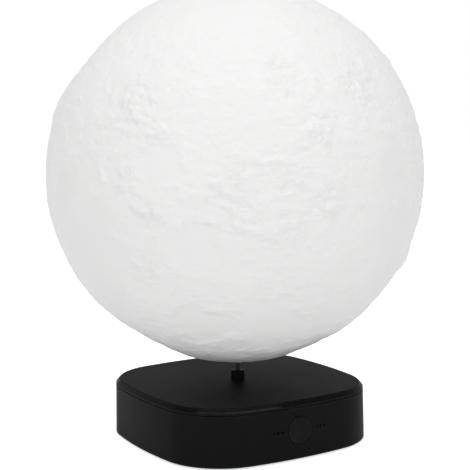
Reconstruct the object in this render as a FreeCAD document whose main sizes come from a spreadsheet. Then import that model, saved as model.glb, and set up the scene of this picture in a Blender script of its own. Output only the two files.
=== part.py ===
import FreeCAD, Part
import math
import os
import re
import Sketcher

# Turning moon lamp: a hollow printed globe rides on a thin pin that rises from a short
# bearing post in the middle of a low motor base. +Z is up, the button faces -Y, and the
# origin is the centre of the footprint at the underside of the rubber feet.

# Driving dimensions in millimetres; draft in degrees, teeth and holes are counts.
SIZES = (
    # globe
    ("globe_radius", 100.0),
    ("globe_wall", 2.2),
    ("globe_gap", 11.1),
    ("collar_bore", 20.0),
    ("collar_radius", 32.0),
    ("collar_height", 6.0),
    ("cap_radius", 28.0),
    ("cap_edge", 2.2),
    ("cap_gap", 0.15),
    ("cap_boss_radius", 6.0),
    ("cap_boss_height", 9.0),
    ("cap_screw_circle", 24.0),
    ("cap_screw_count", 3),
    ("cap_screw_radius", 1.1),
    ("cap_screw_length", 5.0),
    ("cap_screw_seat", 1.3),
    ("cap_screw_head_radius", 2.1),
    ("cap_screw_head_height", 1.3),
    ("cap_pilot_floor", 0.6),
    ("socket_radius", 3.0),
    ("socket_rise", 11.0),
    ("socket_sink", 0.3),
    ("pin_engage", 7.6),
    # lighting column inside the globe
    ("column_radius", 19.0),
    ("column_wall", 1.8),
    ("shelf_height", 11.0),
    ("shelf_thickness", 1.6),
    ("battery_radius", 9.2),
    ("battery_length", 65.0),
    ("column_headroom", 4.4),
    ("light_board_thickness", 1.6),
    ("light_count", 8),
    ("light_circle", 11.0),
    ("light_side", 3.0),
    ("light_height", 1.2),
    ("diffuser_wall", 1.2),
    ("diffuser_height", 15.0),
    ("charge_board_radius", 16.6),
    ("charge_board_bore", 7.0),
    ("charge_offset", 12.0),
    ("charge_sink", 0.2),
    # base housing
    ("base_half", 60.2),
    ("base_bow", 223.0),
    ("base_corner", 34.6),
    ("wall_draft", 1.0),
    ("base_wall", 2.4),
    ("base_height", 29.5),
    ("rim_height", 3.2),
    ("rim_chamfer", 2.1),
    ("rim_round", 0.5),
    ("seam_gap", 0.3),
    ("seam_depth", 0.8),
    ("cover_skin", 2.4),
    ("lip_depth", 2.2),
    ("lip_wall", 1.6),
    ("lip_gap", 0.15),
    ("plate_thickness", 2.4),
    ("plate_gap", 0.2),
    ("ledge_width", 2.0),
    ("ledge_height", 2.0),
    ("foot_rise", 0.8),
    ("foot_radius", 5.5),
    ("foot_height", 2.0),
    ("foot_margin", 15.8),
    ("fit_gap", 0.05),
    ("pillar_margin", 23.8),
    ("pillar_radius", 3.5),
    ("plate_boss_height", 1.6),
    ("base_screw_radius", 1.25),
    ("base_screw_length", 12.0),
    ("screw_head_radius", 2.6),
    ("screw_head_height", 1.7),
    ("screw_head_sink", 0.5),
    # spindle and bearings
    ("post_radius", 3.75),
    ("post_height", 4.8),
    ("post_flange_radius", 8.0),
    ("post_flange_height", 1.6),
    ("post_lid", 1.0),
    ("post_chamfer", 0.4),
    ("pin_radius", 1.15),
    ("pin_gap", 0.25),
    ("pin_flat", 0.35),
    ("shaft_radius", 1.75),
    ("bearing_gap", 0.03),
    ("bush_wall", 1.0),
    ("bush_length", 5.0),
    ("foot_bush_radius", 4.0),
    ("foot_bush_height", 5.0),
    ("foot_bush_floor", 1.0),
    ("foot_boss_radius", 7.0),
    ("foot_boss_height", 3.6),
    ("washer_radius", 4.5),
    ("washer_height", 0.5),
    # drive
    ("gear_module", 0.6),
    ("wheel_teeth", 60),
    ("pinion_teeth", 12),
    ("tooth_play", 0.12),
    ("wheel_level", 19.8),
    ("wheel_face", 4.0),
    ("wheel_web", 1.6),
    ("wheel_rim", 2.4),
    ("wheel_hub_radius", 5.0),
    ("wheel_hub_height", 5.6),
    ("wheel_hole_radius", 2.6),
    ("wheel_hole_count", 6),
    ("pinion_face", 5.0),
    ("motor_radius", 12.0),
    ("motor_height", 14.2),
    ("motor_bevel", 0.8),
    ("motor_nose_radius", 3.5),
    ("motor_nose_height", 1.5),
    ("motor_shaft_radius", 1.0),
    ("motor_shaft_depth", 6.0),
    ("motor_screw_spread", 6.5),
    ("motor_plug_reach", 3.0),
    ("motor_plug_width", 6.0),
    ("motor_plug_height", 3.0),
    ("motor_plug_level", 1.6),
    ("bracket_spread", 18.0),
    ("bracket_radius", 5.0),
    ("bracket_thickness", 1.2),
    ("bracket_post_radius", 3.2),
    ("small_screw_radius", 0.9),
    ("small_head_radius", 1.7),
    ("small_head_height", 1.1),
    ("small_screw_length", 5.0),
    # boards
    ("board_thickness", 1.6),
    ("main_board_half", 25.0),
    ("main_board_depth", 27.0),
    ("main_board_margin", 2.8),
    ("main_board_level", 8.0),
    ("standoff_radius", 2.5),
    ("standoff_margin", 3.5),
    ("front_board_half", 22.0),
    ("front_board_margin", 10.3),
    ("front_board_bottom", 5.0),
    ("front_board_height", 18.0),
    ("rail_inset", 2.5),
    ("rail_wall", 1.5),
    ("component_row", 12.0),
    ("controller_side", 8.0),
    ("coil_side", 7.0),
    ("capacitor_radius", 4.0),
    ("capacitor_height", 9.5),
    ("header_width", 5.0),
    ("header_length", 6.0),
    ("header_height", 5.0),
    ("header_setback", 0.5),
    ("motor_header_margin", 21.0),
    ("front_header_margin", 15.0),
    ("capacitor_margin", 14.0),
    ("coil_margin", 10.0),
    ("lead_radius", 0.7),
    ("lead_sag", 3.0),
    ("lead_reach", 6.0),
    ("lead_bow", 2.0),
    # button
    ("button_radius", 7.2),
    ("button_gap", 0.15),
    ("button_level", 14.4),
    ("button_proud", 0.3),
    ("button_shell", 1.5),
    ("button_flange_radius", 8.6),
    ("button_flange", 1.2),
    ("button_bevel", 0.4),
    ("stem_wall", 0.25),
    ("guide_radius", 9.5),
    ("guide_depth", 2.2),
    ("switch_side", 6.2),
    ("switch_depth", 3.4),
    ("switch_floor", 1.2),
    ("plunger_reach", 1.7),
    ("plunger_seat", 0.9),
    ("plunger_radius", 1.75),
    ("plunger_gap", 0.1),
    # indicator holes
    ("light_hole_radius", 0.6),
    ("light_hole_start", 10.35),
    ("light_hole_pitch", 2.43),
    ("light_hole_count", 3),
    ("light_hole_level", 14.75),
    ("light_pipe_radius", 0.5),
    ("light_pipe_sink", 0.8),
    ("indicator_side", 1.5),
    ("indicator_depth", 1.2),
    ("pipe_bar_height", 3.0),
    ("pipe_bar_depth", 1.5),
    ("pipe_bar_place", 5.5),
    # power inlet at the back
    ("inlet_width", 8.9),
    ("inlet_height", 3.2),
    ("inlet_depth", 7.5),
    ("inlet_wall", 0.35),
    ("inlet_gap", 0.2),
    ("inlet_recess_width", 13.0),
    ("inlet_recess_height", 7.4),
    ("inlet_recess_depth", 1.0),
    ("inlet_inset", 4.3),
)

# Heights and radii that follow from the driving dimensions.
DERIVED = (
    ("plate_top", "foot_rise + plate_thickness"),
    ("cover_top", "foot_rise + base_height"),
    ("cover_bottom", "cover_top - rim_height"),
    ("cover_inside", "cover_top - cover_skin"),
    ("housing_height", "base_height - rim_height"),
    ("draft_slope", "tan(wall_draft * 1deg)"),
    ("globe_centre", "cover_top + globe_gap + globe_radius"),
    ("cap_drop", "sqrt(globe_radius^2 - cap_radius^2)"),
    ("seat_drop", "cap_drop - cap_edge"),
    ("globe_inner", "globe_radius - globe_wall"),
    ("post_top", "cover_top + post_height"),
    ("bush_radius", "shaft_radius + bearing_gap + bush_wall"),
    ("shaft_foot", "plate_top + foot_bush_floor + fit_gap"),
    ("shaft_step", "post_top - post_lid - 2 * pin_gap"),
    ("pin_tip", "cover_top + globe_gap + pin_engage"),
    ("gear_spacing", "gear_module * (wheel_teeth + pinion_teeth) / 2"),
    ("motor_top", "plate_top + motor_height"),
    ("bracket_top", "motor_top + bracket_thickness"),
    ("button_axis", "foot_rise + button_level"),
    ("light_axis", "foot_rise + light_hole_level"),
    ("button_face", "base_half - button_level * draft_slope + button_proud"),
    ("inner_half", "base_half - base_wall"),
    ("foot_spread", "inner_half - foot_margin"),
    ("pillar_spread", "inner_half - pillar_margin"),
    ("main_board_back", "inner_half - main_board_margin"),
    ("main_board_front", "main_board_back - main_board_depth"),
    ("front_board_place", "inner_half - front_board_margin"),
    ("header_place", "main_board_front + header_setback + header_length / 2"),
    ("component_place", "main_board_front + component_row"),
    ("motor_header_place", "main_board_half - motor_header_margin"),
    ("front_header_place", "front_header_margin - main_board_half"),
    ("lead_crossing", "(bracket_spread + bracket_post_radius + pillar_spread - pillar_radius) / 2"),
    ("header_face", "main_board_front + header_setback - fit_gap"),
    ("guide_face", "inner_half - guide_depth"),
    ("switch_face", "front_board_place + switch_depth"),
    ("board_top", "main_board_level + board_thickness"),
    ("inlet_axis", "board_top + inlet_height / 2"),
    ("column_foot", "-seat_drop"),
    ("column_height", "shelf_height + shelf_thickness + battery_length + column_headroom"),
    ("column_top", "column_foot + column_height"),
)

document = FreeCAD.newDocument("TurningMoonLamp")
subparts = []

# Two places nearer than this, in millimetres, are the same place.
CLOSE = 0.001


def fill_sheet():
    """Write the driving dimensions into the spreadsheet, one aliased cell each."""
    sheet = document.addObject("Spreadsheet::Sheet", "Sizes")
    for row, (name, number) in enumerate(SIZES, start=1):
        sheet.set(f"A{row}", name)
        sheet.set(f"B{row}", str(number))
        sheet.setAlias(f"B{row}", name)
    document.recompute()


def add_derived():
    """Add the derived heights and radii as properties bound to the sheet."""
    levels = document.addObject("App::VarSet", "Levels")
    for name, text in DERIVED:
        levels.addProperty("App::PropertyFloat", name, "Levels")
        levels.setExpression(name, formula(text))
    document.recompute()


def add_scratch():
    """A number of its own that no piece depends on, to work a formula out with."""
    pad_of_paper = document.addObject("App::VarSet", "Scratch")
    pad_of_paper.addProperty("App::PropertyFloat", "answer", "Scratch")
    return pad_of_paper


OWNERS = {name: "Sizes" for name, number in SIZES}
OWNERS.update({name: "Levels" for name, text in DERIVED})


def formula(text):
    """Put the owner's name before every size that a formula mentions."""
    return re.sub(r"[a-z_]+", lambda word: qualified(word.group(0)), str(text))


def qualified(word):
    """One size's full name, or the word itself where it is a function or a unit."""
    return f"{OWNERS[word]}.{word}" if word in OWNERS else word


fill_sheet()
add_derived()
scratch = add_scratch()


def value(text):
    """The number that a formula has now."""
    scratch.setExpression("answer", formula(text))
    scratch.recompute()
    return scratch.answer


def bind(thing, place, text):
    """Bind one property to a formula."""
    thing.setExpression(place, formula(text))


def subpart(thing, label):
    """Name a finished piece and put it on the list of pieces to write."""
    thing.Label = label
    subparts.append(thing)
    return thing


# ---------------------------------------------------------------- drawings


def new_body(label, x="0", y="0", z="0"):
    """A solid body with its own place in the lamp."""
    body = document.addObject("PartDesign::Body", label)
    bind(body, "Placement.Base.x", x)
    bind(body, "Placement.Base.y", y)
    bind(body, "Placement.Base.z", z)
    return subpart(body, label)


def drawing_on(body, name, plane="XY_Plane", rise="0"):
    """A drawing on one of the body's own planes, lifted along that plane's normal."""
    drawing = body.newObject("Sketcher::SketchObject", name)
    base = next(feature for feature in body.Origin.OriginFeatures if feature.Role == plane)
    drawing.AttachmentSupport = [(base, "")]
    drawing.MapMode = "FlatFace"
    bind(drawing, "AttachmentOffset.Base.z", rise)
    return drawing


def bound(drawing, constraint, text):
    """Add a constraint whose size is a formula."""
    index = drawing.addConstraint(constraint)
    drawing.setExpression(f"Constraints[{index}]", formula(text))


def fix_point(drawing, curve, end, x, y):
    """Hold one point of a curve at x, y from the drawing's origin."""
    bound(drawing, Sketcher.Constraint("DistanceX", -1, 1, curve, end, value(x)), x)
    bound(drawing, Sketcher.Constraint("DistanceY", -1, 1, curve, end, value(y)), y)


def circle(drawing, radius, x="0", y="0"):
    """A circle of a given radius."""
    centre = FreeCAD.Vector(value(x), value(y), 0)
    curve = drawing.addGeometry(Part.Circle(centre, FreeCAD.Vector(0, 0, 1), value(radius)), False)
    bound(drawing, Sketcher.Constraint("Radius", curve, value(radius)), radius)
    fix_point(drawing, curve, 3, x, y)


def arc_between(start, end, radius, turn):
    """Arc from start to end; turn is 1 to go anticlockwise and -1 to go clockwise."""
    chord = end - start
    reach = math.sqrt(max(0, radius ** 2 - (chord.Length / 2) ** 2))
    side = FreeCAD.Vector(-chord.y, chord.x, 0).normalize() * turn
    centre = (start + end) * 0.5 + side * reach
    first, last = (start, end) if turn > 0 else (end, start)
    begin = math.atan2(first.y - centre.y, first.x - centre.x)
    finish = math.atan2(last.y - centre.y, last.x - centre.x)
    if finish <= begin:
        finish += 2 * math.pi
    return Part.ArcOfCircle(Part.Circle(centre, FreeCAD.Vector(0, 0, 1), radius), begin, finish)


def outline(drawing, points, arcs=None):
    """Closed outline through points; arcs maps a point's number to the radius and turn after it."""
    arcs = arcs or {}
    corners = [FreeCAD.Vector(value(x), value(y), 0) for x, y in points]
    curves = []
    ends = []
    for number, start in enumerate(corners):
        end = corners[(number + 1) % len(corners)]
        if number in arcs:
            radius, turn = arcs[number]
            curve = drawing.addGeometry(arc_between(start, end, value(radius), turn), False)
            bound(drawing, Sketcher.Constraint("Radius", curve, value(radius)), radius)
            ends.append((1, 2) if turn > 0 else (2, 1))
        else:
            curve = drawing.addGeometry(Part.LineSegment(start, end), False)
            ends.append((1, 2))
        curves.append(curve)
    for number, (x, y) in enumerate(points):
        before = number - 1
        joint = Sketcher.Constraint("Coincident", curves[before], ends[before][1],
                                    curves[number], ends[number][0])
        drawing.addConstraint(joint)
        fix_point(drawing, curves[number], ends[number][0], x, y)


def rectangle(drawing, left, bottom, right, top):
    """An upright rectangle."""
    outline(drawing, [(left, bottom), (right, bottom), (right, top), (left, top)])


def obround(drawing, half_length, radius, x="0", y="0", upright=False):
    """A slot with round ends; half_length is from its centre to each end's centre."""
    size, reach = value(radius), value(half_length)
    along = FreeCAD.Vector(0, reach, 0) if upright else FreeCAD.Vector(reach, 0, 0)
    lean = math.pi / 2 if upright else 0
    up = FreeCAD.Vector(0, 0, 1)
    middle = FreeCAD.Vector(value(x), value(y), 0)
    far = Part.ArcOfCircle(Part.Circle(middle + along, up, size), lean - math.pi / 2, lean + math.pi / 2)
    near = Part.ArcOfCircle(Part.Circle(middle - along, up, size), lean + math.pi / 2, lean + 3 * math.pi / 2)
    sides = [Part.LineSegment(far.EndPoint, near.StartPoint), Part.LineSegment(near.EndPoint, far.StartPoint)]
    curves = [drawing.addGeometry(curve, False) for curve in (far, sides[0], near, sides[1])]
    for number in range(4):
        drawing.addConstraint(Sketcher.Constraint("Tangent", curves[number], 2, curves[(number + 1) % 4], 1))
    for curve, sign in ((curves[0], "+"), (curves[2], "-")):
        bound(drawing, Sketcher.Constraint("Radius", curve, size), radius)
        end_x = x if upright else f"{x} {sign} ({half_length})"
        end_y = f"{y} {sign} ({half_length})" if upright else y
        fix_point(drawing, curve, 3, end_x, end_y)


def bowed_square(drawing, inset="0"):
    """The base's outline, drawn in by inset: four bowed sides joined by round corners."""
    half, bow, corner = (value(f"{name} - ({inset})") for name in ("base_half", "base_bow", "base_corner"))
    shift = half - bow
    diagonal = (2 * shift + math.sqrt(4 * shift ** 2 - 8 * (shift ** 2 - (bow - corner) ** 2))) / 4
    split = math.atan2(diagonal, diagonal - shift)
    up = FreeCAD.Vector(0, 0, 1)
    curves = []
    for quarter in range(4):
        turn = quarter * math.pi / 2
        side = FreeCAD.Vector(shift * math.cos(turn), shift * math.sin(turn), 0)
        reach = diagonal * math.sqrt(2)
        slant = turn + math.pi / 4
        middle = FreeCAD.Vector(reach * math.cos(slant), reach * math.sin(slant), 0)
        side_arc = Part.ArcOfCircle(Part.Circle(side, up, bow), turn - split, turn + split)
        corner_end = turn + math.pi / 2 - split
        corner_arc = Part.ArcOfCircle(Part.Circle(middle, up, corner), turn + split, corner_end)
        curves.append(drawing.addGeometry(side_arc, False))
        curves.append(drawing.addGeometry(corner_arc, False))
    for number in range(8):
        drawing.addConstraint(Sketcher.Constraint("Tangent", curves[number], 2, curves[(number + 1) % 8], 1))
    for quarter, (along, across) in enumerate(((1, 0), (0, 1), (-1, 0), (0, -1))):
        side_arc, corner_arc = curves[2 * quarter], curves[2 * quarter + 1]
        bound(drawing, Sketcher.Constraint("Radius", side_arc, bow), f"base_bow - ({inset})")
        bound(drawing, Sketcher.Constraint("Radius", corner_arc, corner), f"base_corner - ({inset})")
        fix_point(drawing, side_arc, 3, f"{along} * (base_half - base_bow)",
                  f"{across} * (base_half - base_bow)")


# ---------------------------------------------------------------- features


def pad(body, name, drawing, length, backward=False, draft=None):
    """Grow a drawing into a solid along its normal, or against it."""
    feature = body.newObject("PartDesign::Pad", name)
    feature.Profile = drawing
    feature.Reversed = backward
    bind(feature, "Length", length)
    if draft:
        bind(feature, "TaperAngle", draft)
    drawing.Visibility = False
    document.recompute()
    return feature


def pocket(body, name, drawing, length, forward=False):
    """Cut a drawing into the solid against its normal, or along it; it must remove something."""
    before = body.Shape.Volume
    feature = body.newObject("PartDesign::Pocket", name)
    feature.Profile = drawing
    feature.Reversed = forward
    bind(feature, "Length", length)
    document.recompute()
    if not body.Shape.Volume < before:
        raise ValueError(f"{body.Label}: {name} cuts nothing")
    return feature


def revolve(body, name, drawing):
    """Turn a drawing a full circle about its upright axis."""
    feature = body.newObject("PartDesign::Revolution", name)
    feature.Profile = drawing
    feature.ReferenceAxis = (drawing, ["V_Axis"])
    feature.Angle = 360
    document.recompute()
    return feature


def polar(body, name, feature, drawing, count):
    """Repeat a feature round the axis through a drawing's origin."""
    pattern = body.newObject("PartDesign::PolarPattern", name)
    pattern.Originals = [feature]
    pattern.Axis = (drawing, ["N_Axis"])
    pattern.Angle = 360
    bind(pattern, "Occurrences", count)
    body.Tip = pattern
    document.recompute()
    return pattern


# ---------------------------------------------------------------- plain solids

TURNS = {
    "+z": FreeCAD.Rotation(),
    "-z": FreeCAD.Rotation(FreeCAD.Vector(1, 0, 0), 180),
    "+y": FreeCAD.Rotation(FreeCAD.Vector(1, 0, 0), -90),
    "-y": FreeCAD.Rotation(FreeCAD.Vector(1, 0, 0), 90),
}


def place(thing, x, y, z, way="+z"):
    """Turn a plain solid to point one way and bind its place."""
    thing.Placement = FreeCAD.Placement(FreeCAD.Vector(), TURNS[way])
    bind(thing, "Placement.Base.x", x)
    bind(thing, "Placement.Base.y", y)
    bind(thing, "Placement.Base.z", z)
    return thing


def rod(name, radius, height, x, y, z, way="+z"):
    """A round rod that starts at x, y, z."""
    thing = document.addObject("Part::Cylinder", name)
    bind(thing, "Radius", radius)
    bind(thing, "Height", height)
    return place(thing, x, y, z, way)


def block(name, length, width, height, x, y, z):
    """A box centred on x and y that stands on z."""
    thing = document.addObject("Part::Box", name)
    bind(thing, "Length", length)
    bind(thing, "Width", width)
    bind(thing, "Height", height)
    return place(thing, f"{x} - ({length}) / 2", f"{y} - ({width}) / 2", z)


def joined(name, members):
    """Fuse solids that are moulded as one."""
    thing = document.addObject("Part::MultiFuse", name)
    thing.Shapes = members
    thing.Refine = True
    return thing


def gathered(label, members):
    """Like pieces kept as separate solids under one name."""
    thing = document.addObject("Part::Compound", label)
    thing.Links = members
    return subpart(thing, label)


def square_places(spread):
    """The four places at plus and minus spread."""
    return [(f"{x} * ({spread})", f"{y} * ({spread})") for x, y in ((1, 1), (-1, 1), (-1, -1), (1, -1))]


def screw(name, radius, length, head_radius, head_height, x, y, z, way="+z"):
    """A pan-headed screw: z is under the head, and the shank points the given way."""
    opposite = {"+z": "-z", "-z": "+z"}[way]
    shank = rod(f"{name}_shank", radius, length, x, y, z, way)
    head = rod(f"{name}_head", head_radius, head_height, x, y, z, opposite)
    return joined(name, [shank, head])


# ---------------------------------------------------------------- base


def base_housing():
    """Side wall of the base: drafted outside, with a ledge for the base plate and the button's guide."""
    body = new_body("base_housing", z="foot_rise")
    wall = drawing_on(body, "wall_outline")
    bowed_square(wall)
    pad(body, "wall", wall, "housing_height - seam_gap", draft="-wall_draft")
    step = drawing_on(body, "seam_outline", rise="housing_height - seam_gap")
    bowed_square(step, "housing_height * draft_slope + seam_depth")
    pad(body, "seam_step", step, "seam_gap")
    hollow = drawing_on(body, "hollow_outline", rise="housing_height")
    bowed_square(hollow, "base_wall")
    pocket(body, "hollow", hollow, "housing_height")
    ledge = drawing_on(body, "ledge_outline", rise="plate_thickness")
    bowed_square(ledge, "base_wall / 2")
    bowed_square(ledge, "base_wall + ledge_width")
    pad(body, "ledge", ledge, "ledge_height")
    guide = drawing_on(body, "guide_outline", "XZ_Plane", "guide_face")
    circle(guide, "guide_radius", y="button_level")
    pad(body, "guide", guide, "guide_depth + base_wall / 2")
    button_hole = drawing_on(body, "button_hole_outline", "XZ_Plane", "base_half + guide_depth")
    circle(button_hole, "button_radius + button_gap", y="button_level")
    pocket(body, "button_hole", button_hole, "base_wall + 3 * guide_depth")
    light_holes = drawing_on(body, "light_hole_outlines", "XZ_Plane", "base_half + guide_depth")
    for side, number in light_hole_places():
        circle(light_holes, "light_hole_radius", light_hole_x(side, number), "light_hole_level")
    pocket(body, "light_holes", light_holes, "base_wall + 2 * guide_depth")
    recess = drawing_on(body, "inlet_recess_outline", "XZ_Plane", "-(base_half + base_wall)")
    inlet_rise = "(inlet_axis - foot_rise)"
    obround(recess, "(inlet_recess_width - inlet_recess_height) / 2", "inlet_recess_height / 2", y=inlet_rise)
    pocket(body, "inlet_recess", recess, f"base_wall + inlet_recess_depth + {inlet_rise} * draft_slope",
           forward=True)
    slot = drawing_on(body, "inlet_slot_outline", "XZ_Plane", "-(base_half + base_wall)")
    obround(slot, "(inlet_width - inlet_height) / 2", "inlet_height / 2 + inlet_gap", y=inlet_rise)
    pocket(body, "inlet_slot", slot, "3 * base_wall", forward=True)
    return body


def light_hole_places():
    """Side and number of every indicator hole beside the button."""
    return [(side, number) for side in (-1, 1) for number in range(int(value("light_hole_count")))]


def light_hole_x(side, number):
    """Sideways place of one indicator hole."""
    return f"{side} * (light_hole_start + {number} * light_hole_pitch)"


def top_cover():
    """Top cover: softly chamfered rim, a lip inside the housing, and four screw pillars underneath."""
    body = new_body("top_cover", z="cover_bottom")
    rim = drawing_on(body, "rim_outline")
    bowed_square(rim, "housing_height * draft_slope")
    block_feature = pad(body, "rim", rim, "rim_height", draft="-wall_draft")
    bevel = body.newObject("PartDesign::Chamfer", "rim_bevel")
    top = value("rim_height")
    edges = [f"Edge{number}" for number, edge in enumerate(block_feature.Shape.Edges, start=1)
             if edge.BoundBox.ZMin > top - CLOSE]
    bevel.Base = (block_feature, edges)
    bind(bevel, "Size", "rim_chamfer")
    document.recompute()
    rounding = body.newObject("PartDesign::Fillet", "rim_rounding")
    edges = [f"Edge{number}" for number, edge in enumerate(bevel.Shape.Edges, start=1)
             if edge.BoundBox.ZLength < CLOSE and edge.BoundBox.ZMin > CLOSE]
    rounding.Base = (bevel, edges)
    bind(rounding, "Radius", "rim_round")
    document.recompute()
    under = drawing_on(body, "underside_outline")
    bowed_square(under, "base_wall + lip_gap + lip_wall")
    pocket(body, "underside", under, "rim_height - cover_skin", forward=True)
    lip = drawing_on(body, "lip_outline")
    bowed_square(lip, "base_wall + lip_gap")
    bowed_square(lip, "base_wall + lip_gap + lip_wall")
    pad(body, "lip", lip, "lip_depth", backward=True)
    pillars = drawing_on(body, "pillar_outlines", rise="rim_height - cover_skin")
    for x, y in square_places("pillar_spread"):
        circle(pillars, "pillar_radius", x, y)
    pad(body, "pillars", pillars, "cover_inside - plate_top - plate_boss_height", backward=True)
    pilots = drawing_on(body, "pilot_outlines", rise="plate_top + plate_boss_height - cover_bottom")
    for x, y in square_places("pillar_spread"):
        circle(pilots, "base_screw_radius + fit_gap", x, y)
    pocket(body, "pilots", pilots, "base_screw_length", forward=True)
    middle = drawing_on(body, "post_hole_outline", rise="rim_height")
    circle(middle, "post_radius + fit_gap")
    pocket(body, "post_hole", middle, "rim_height")
    return body


def base_plate():
    """Bottom plate with everything that stands on it: bearing boss, motor posts, board posts and rails."""
    body = new_body("base_plate", z="foot_rise")
    plate = drawing_on(body, "plate_outline")
    bowed_square(plate, "base_wall + plate_gap")
    pad(body, "plate", plate, "plate_thickness")
    bosses = drawing_on(body, "boss_outlines", rise="plate_thickness")
    for x, y in square_places("pillar_spread"):
        circle(bosses, "pillar_radius", x, y)
    pad(body, "bosses", bosses, "plate_boss_height")
    bearing = drawing_on(body, "bearing_outline", rise="plate_thickness")
    circle(bearing, "foot_boss_radius")
    circle(bearing, "foot_bush_radius + fit_gap")
    pad(body, "bearing_boss", bearing, "foot_boss_height")
    posts = drawing_on(body, "motor_post_outlines", rise="plate_thickness")
    for side in (-1, 1):
        circle(posts, "bracket_post_radius", "gear_spacing", f"{side} * bracket_spread")
    pad(body, "motor_posts", posts, "motor_height")
    standoffs = drawing_on(body, "standoff_outlines", rise="plate_thickness")
    for x, y in board_screw_places():
        circle(standoffs, "standoff_radius", x, y)
    pad(body, "standoffs", standoffs, "main_board_level - plate_top")
    rails = drawing_on(body, "rail_outlines", rise="plate_thickness")
    for side in (-1, 1):
        inner, outer = f"{side} * (front_board_half - rail_inset)", f"{side} * (front_board_half + rail_wall)"
        rectangle(rails, inner, "-front_board_place - rail_inset",
                  outer, "-front_board_place + board_thickness + rail_inset")
    pad(body, "rails", rails, "front_board_height")
    grooves = drawing_on(body, "rail_groove_outlines", rise="plate_thickness + front_board_height")
    rectangle(grooves, "-(front_board_half + fit_gap)", "-front_board_place - fit_gap",
              "front_board_half + fit_gap", "-front_board_place + board_thickness + fit_gap")
    pocket(body, "rail_grooves", grooves, "plate_top + front_board_height - front_board_bottom")
    sinks = drawing_on(body, "head_sink_outlines")
    for x, y in square_places("pillar_spread"):
        circle(sinks, "screw_head_radius + fit_gap", x, y)
    pocket(body, "head_sinks", sinks, "screw_head_sink + screw_head_height", forward=True)
    holes = drawing_on(body, "screw_hole_outlines")
    for x, y in square_places("pillar_spread"):
        circle(holes, "base_screw_radius + fit_gap", x, y)
    pocket(body, "screw_holes", holes, "plate_thickness + plate_boss_height", forward=True)
    seats = drawing_on(body, "foot_seat_outlines")
    for x, y in square_places("foot_spread"):
        circle(seats, "foot_radius + fit_gap", x, y)
    pocket(body, "foot_seats", seats, "foot_height - foot_rise", forward=True)
    pilots = drawing_on(body, "motor_pilot_outlines", rise="plate_thickness + motor_height")
    for side in (-1, 1):
        circle(pilots, "small_screw_radius + fit_gap", "gear_spacing", f"{side} * bracket_spread")
    pocket(body, "motor_pilots", pilots, "small_screw_length")
    board_pilots = drawing_on(body, "board_pilot_outlines", rise="main_board_level - foot_rise")
    for x, y in board_screw_places():
        circle(board_pilots, "small_screw_radius + fit_gap", x, y)
    pocket(body, "board_pilots", board_pilots, "small_screw_length")
    return body


def board_screw_places():
    """The four screws of the main board, in from its corners."""
    sides = [f"{side} * (main_board_half - standoff_margin)" for side in (-1, 1)]
    ends = ["main_board_front + standoff_margin", "main_board_back - standoff_margin"]
    return [(x, y) for x in sides for y in ends]


def rubber_feet():
    """Four rubber discs set into the base plate."""
    feet = []
    for number, (x, y) in enumerate(square_places("foot_spread")):
        feet.append(rod(f"foot_{number}", "foot_radius", "foot_height", x, y, "0"))
    return gathered("rubber_feet", feet)


def base_screws():
    """Four screws up through the base plate into the cover's pillars."""
    screws = []
    for number, (x, y) in enumerate(square_places("pillar_spread")):
        screws.append(screw(f"base_screw_{number}", "base_screw_radius", "base_screw_length",
                            "screw_head_radius", "screw_head_height", x, y,
                            "foot_rise + screw_head_sink + screw_head_height"))
    return gathered("base_screws", screws)


# ---------------------------------------------------------------- bearings and spindle


def bearing_post():
    """Short round post through the cover, with a flange below it and a thin lid round the pin."""
    body = new_body("bearing_post", z="cover_inside")
    section = drawing_on(body, "post_section", "XZ_Plane")
    bore = "bush_radius + bearing_gap"
    top = "cover_skin + post_height"
    outline(section, [
        (bore, "-post_flange_height"), ("post_flange_radius", "-post_flange_height"),
        ("post_flange_radius", "0"), ("post_radius", "0"), ("post_radius", f"{top} - post_chamfer"),
        ("post_radius - post_chamfer", top), ("pin_radius + pin_gap", top),
        ("pin_radius + pin_gap", f"{top} - post_lid"), (bore, f"{top} - post_lid"),
    ])
    revolve(body, "post", section)
    return body


def upper_bush():
    """Bronze sleeve that guides the spindle inside the post."""
    body = new_body("upper_bush", z="post_top - post_lid - fit_gap - bush_length")
    ring = drawing_on(body, "bush_outline")
    circle(ring, "bush_radius")
    circle(ring, "shaft_radius + bearing_gap")
    pad(body, "bush", ring, "bush_length")
    return body


def lower_bush():
    """Bronze cup that carries the foot of the spindle."""
    body = new_body("lower_bush", z="plate_top")
    section = drawing_on(body, "cup_section", "XZ_Plane")
    outline(section, [
        ("0", "0"), ("foot_bush_radius", "0"), ("foot_bush_radius", "foot_bush_height"),
        ("shaft_radius + bearing_gap", "foot_bush_height"), ("shaft_radius + bearing_gap", "foot_bush_floor"),
        ("0", "foot_bush_floor"),
    ])
    revolve(body, "cup", section)
    return body


def spindle_shaft():
    """Steel spindle: a thick lower length in the bushes and a thin flatted pin that carries the globe."""
    body = new_body("spindle_shaft", z="shaft_foot")
    section = drawing_on(body, "shaft_section", "XZ_Plane")
    step, tip, break_edge = "shaft_step - shaft_foot", "pin_tip - shaft_foot", "pin_flat"
    outline(section, [
        ("0", "0"), ("shaft_radius", "0"), ("shaft_radius", step), ("pin_radius", step),
        ("pin_radius", f"{tip} - {break_edge}"), (f"pin_radius - {break_edge}", tip), ("0", tip),
    ])
    revolve(body, "shaft", section)
    flat = drawing_on(body, "flat_outline", rise=tip)
    rectangle(flat, "pin_radius - pin_flat", "-2 * pin_radius", "2 * pin_radius", "2 * pin_radius")
    pocket(body, "flat", flat, "pin_engage")
    return body


def thrust_washer():
    """Thin washer on the wheel's hub, below the post."""
    body = new_body("thrust_washer", z="wheel_level + wheel_face / 2 + wheel_hub_height / 2")
    ring = drawing_on(body, "washer_outline")
    circle(ring, "washer_radius")
    circle(ring, "shaft_radius + bearing_gap")
    pad(body, "washer", ring, "washer_height")
    return body


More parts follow.
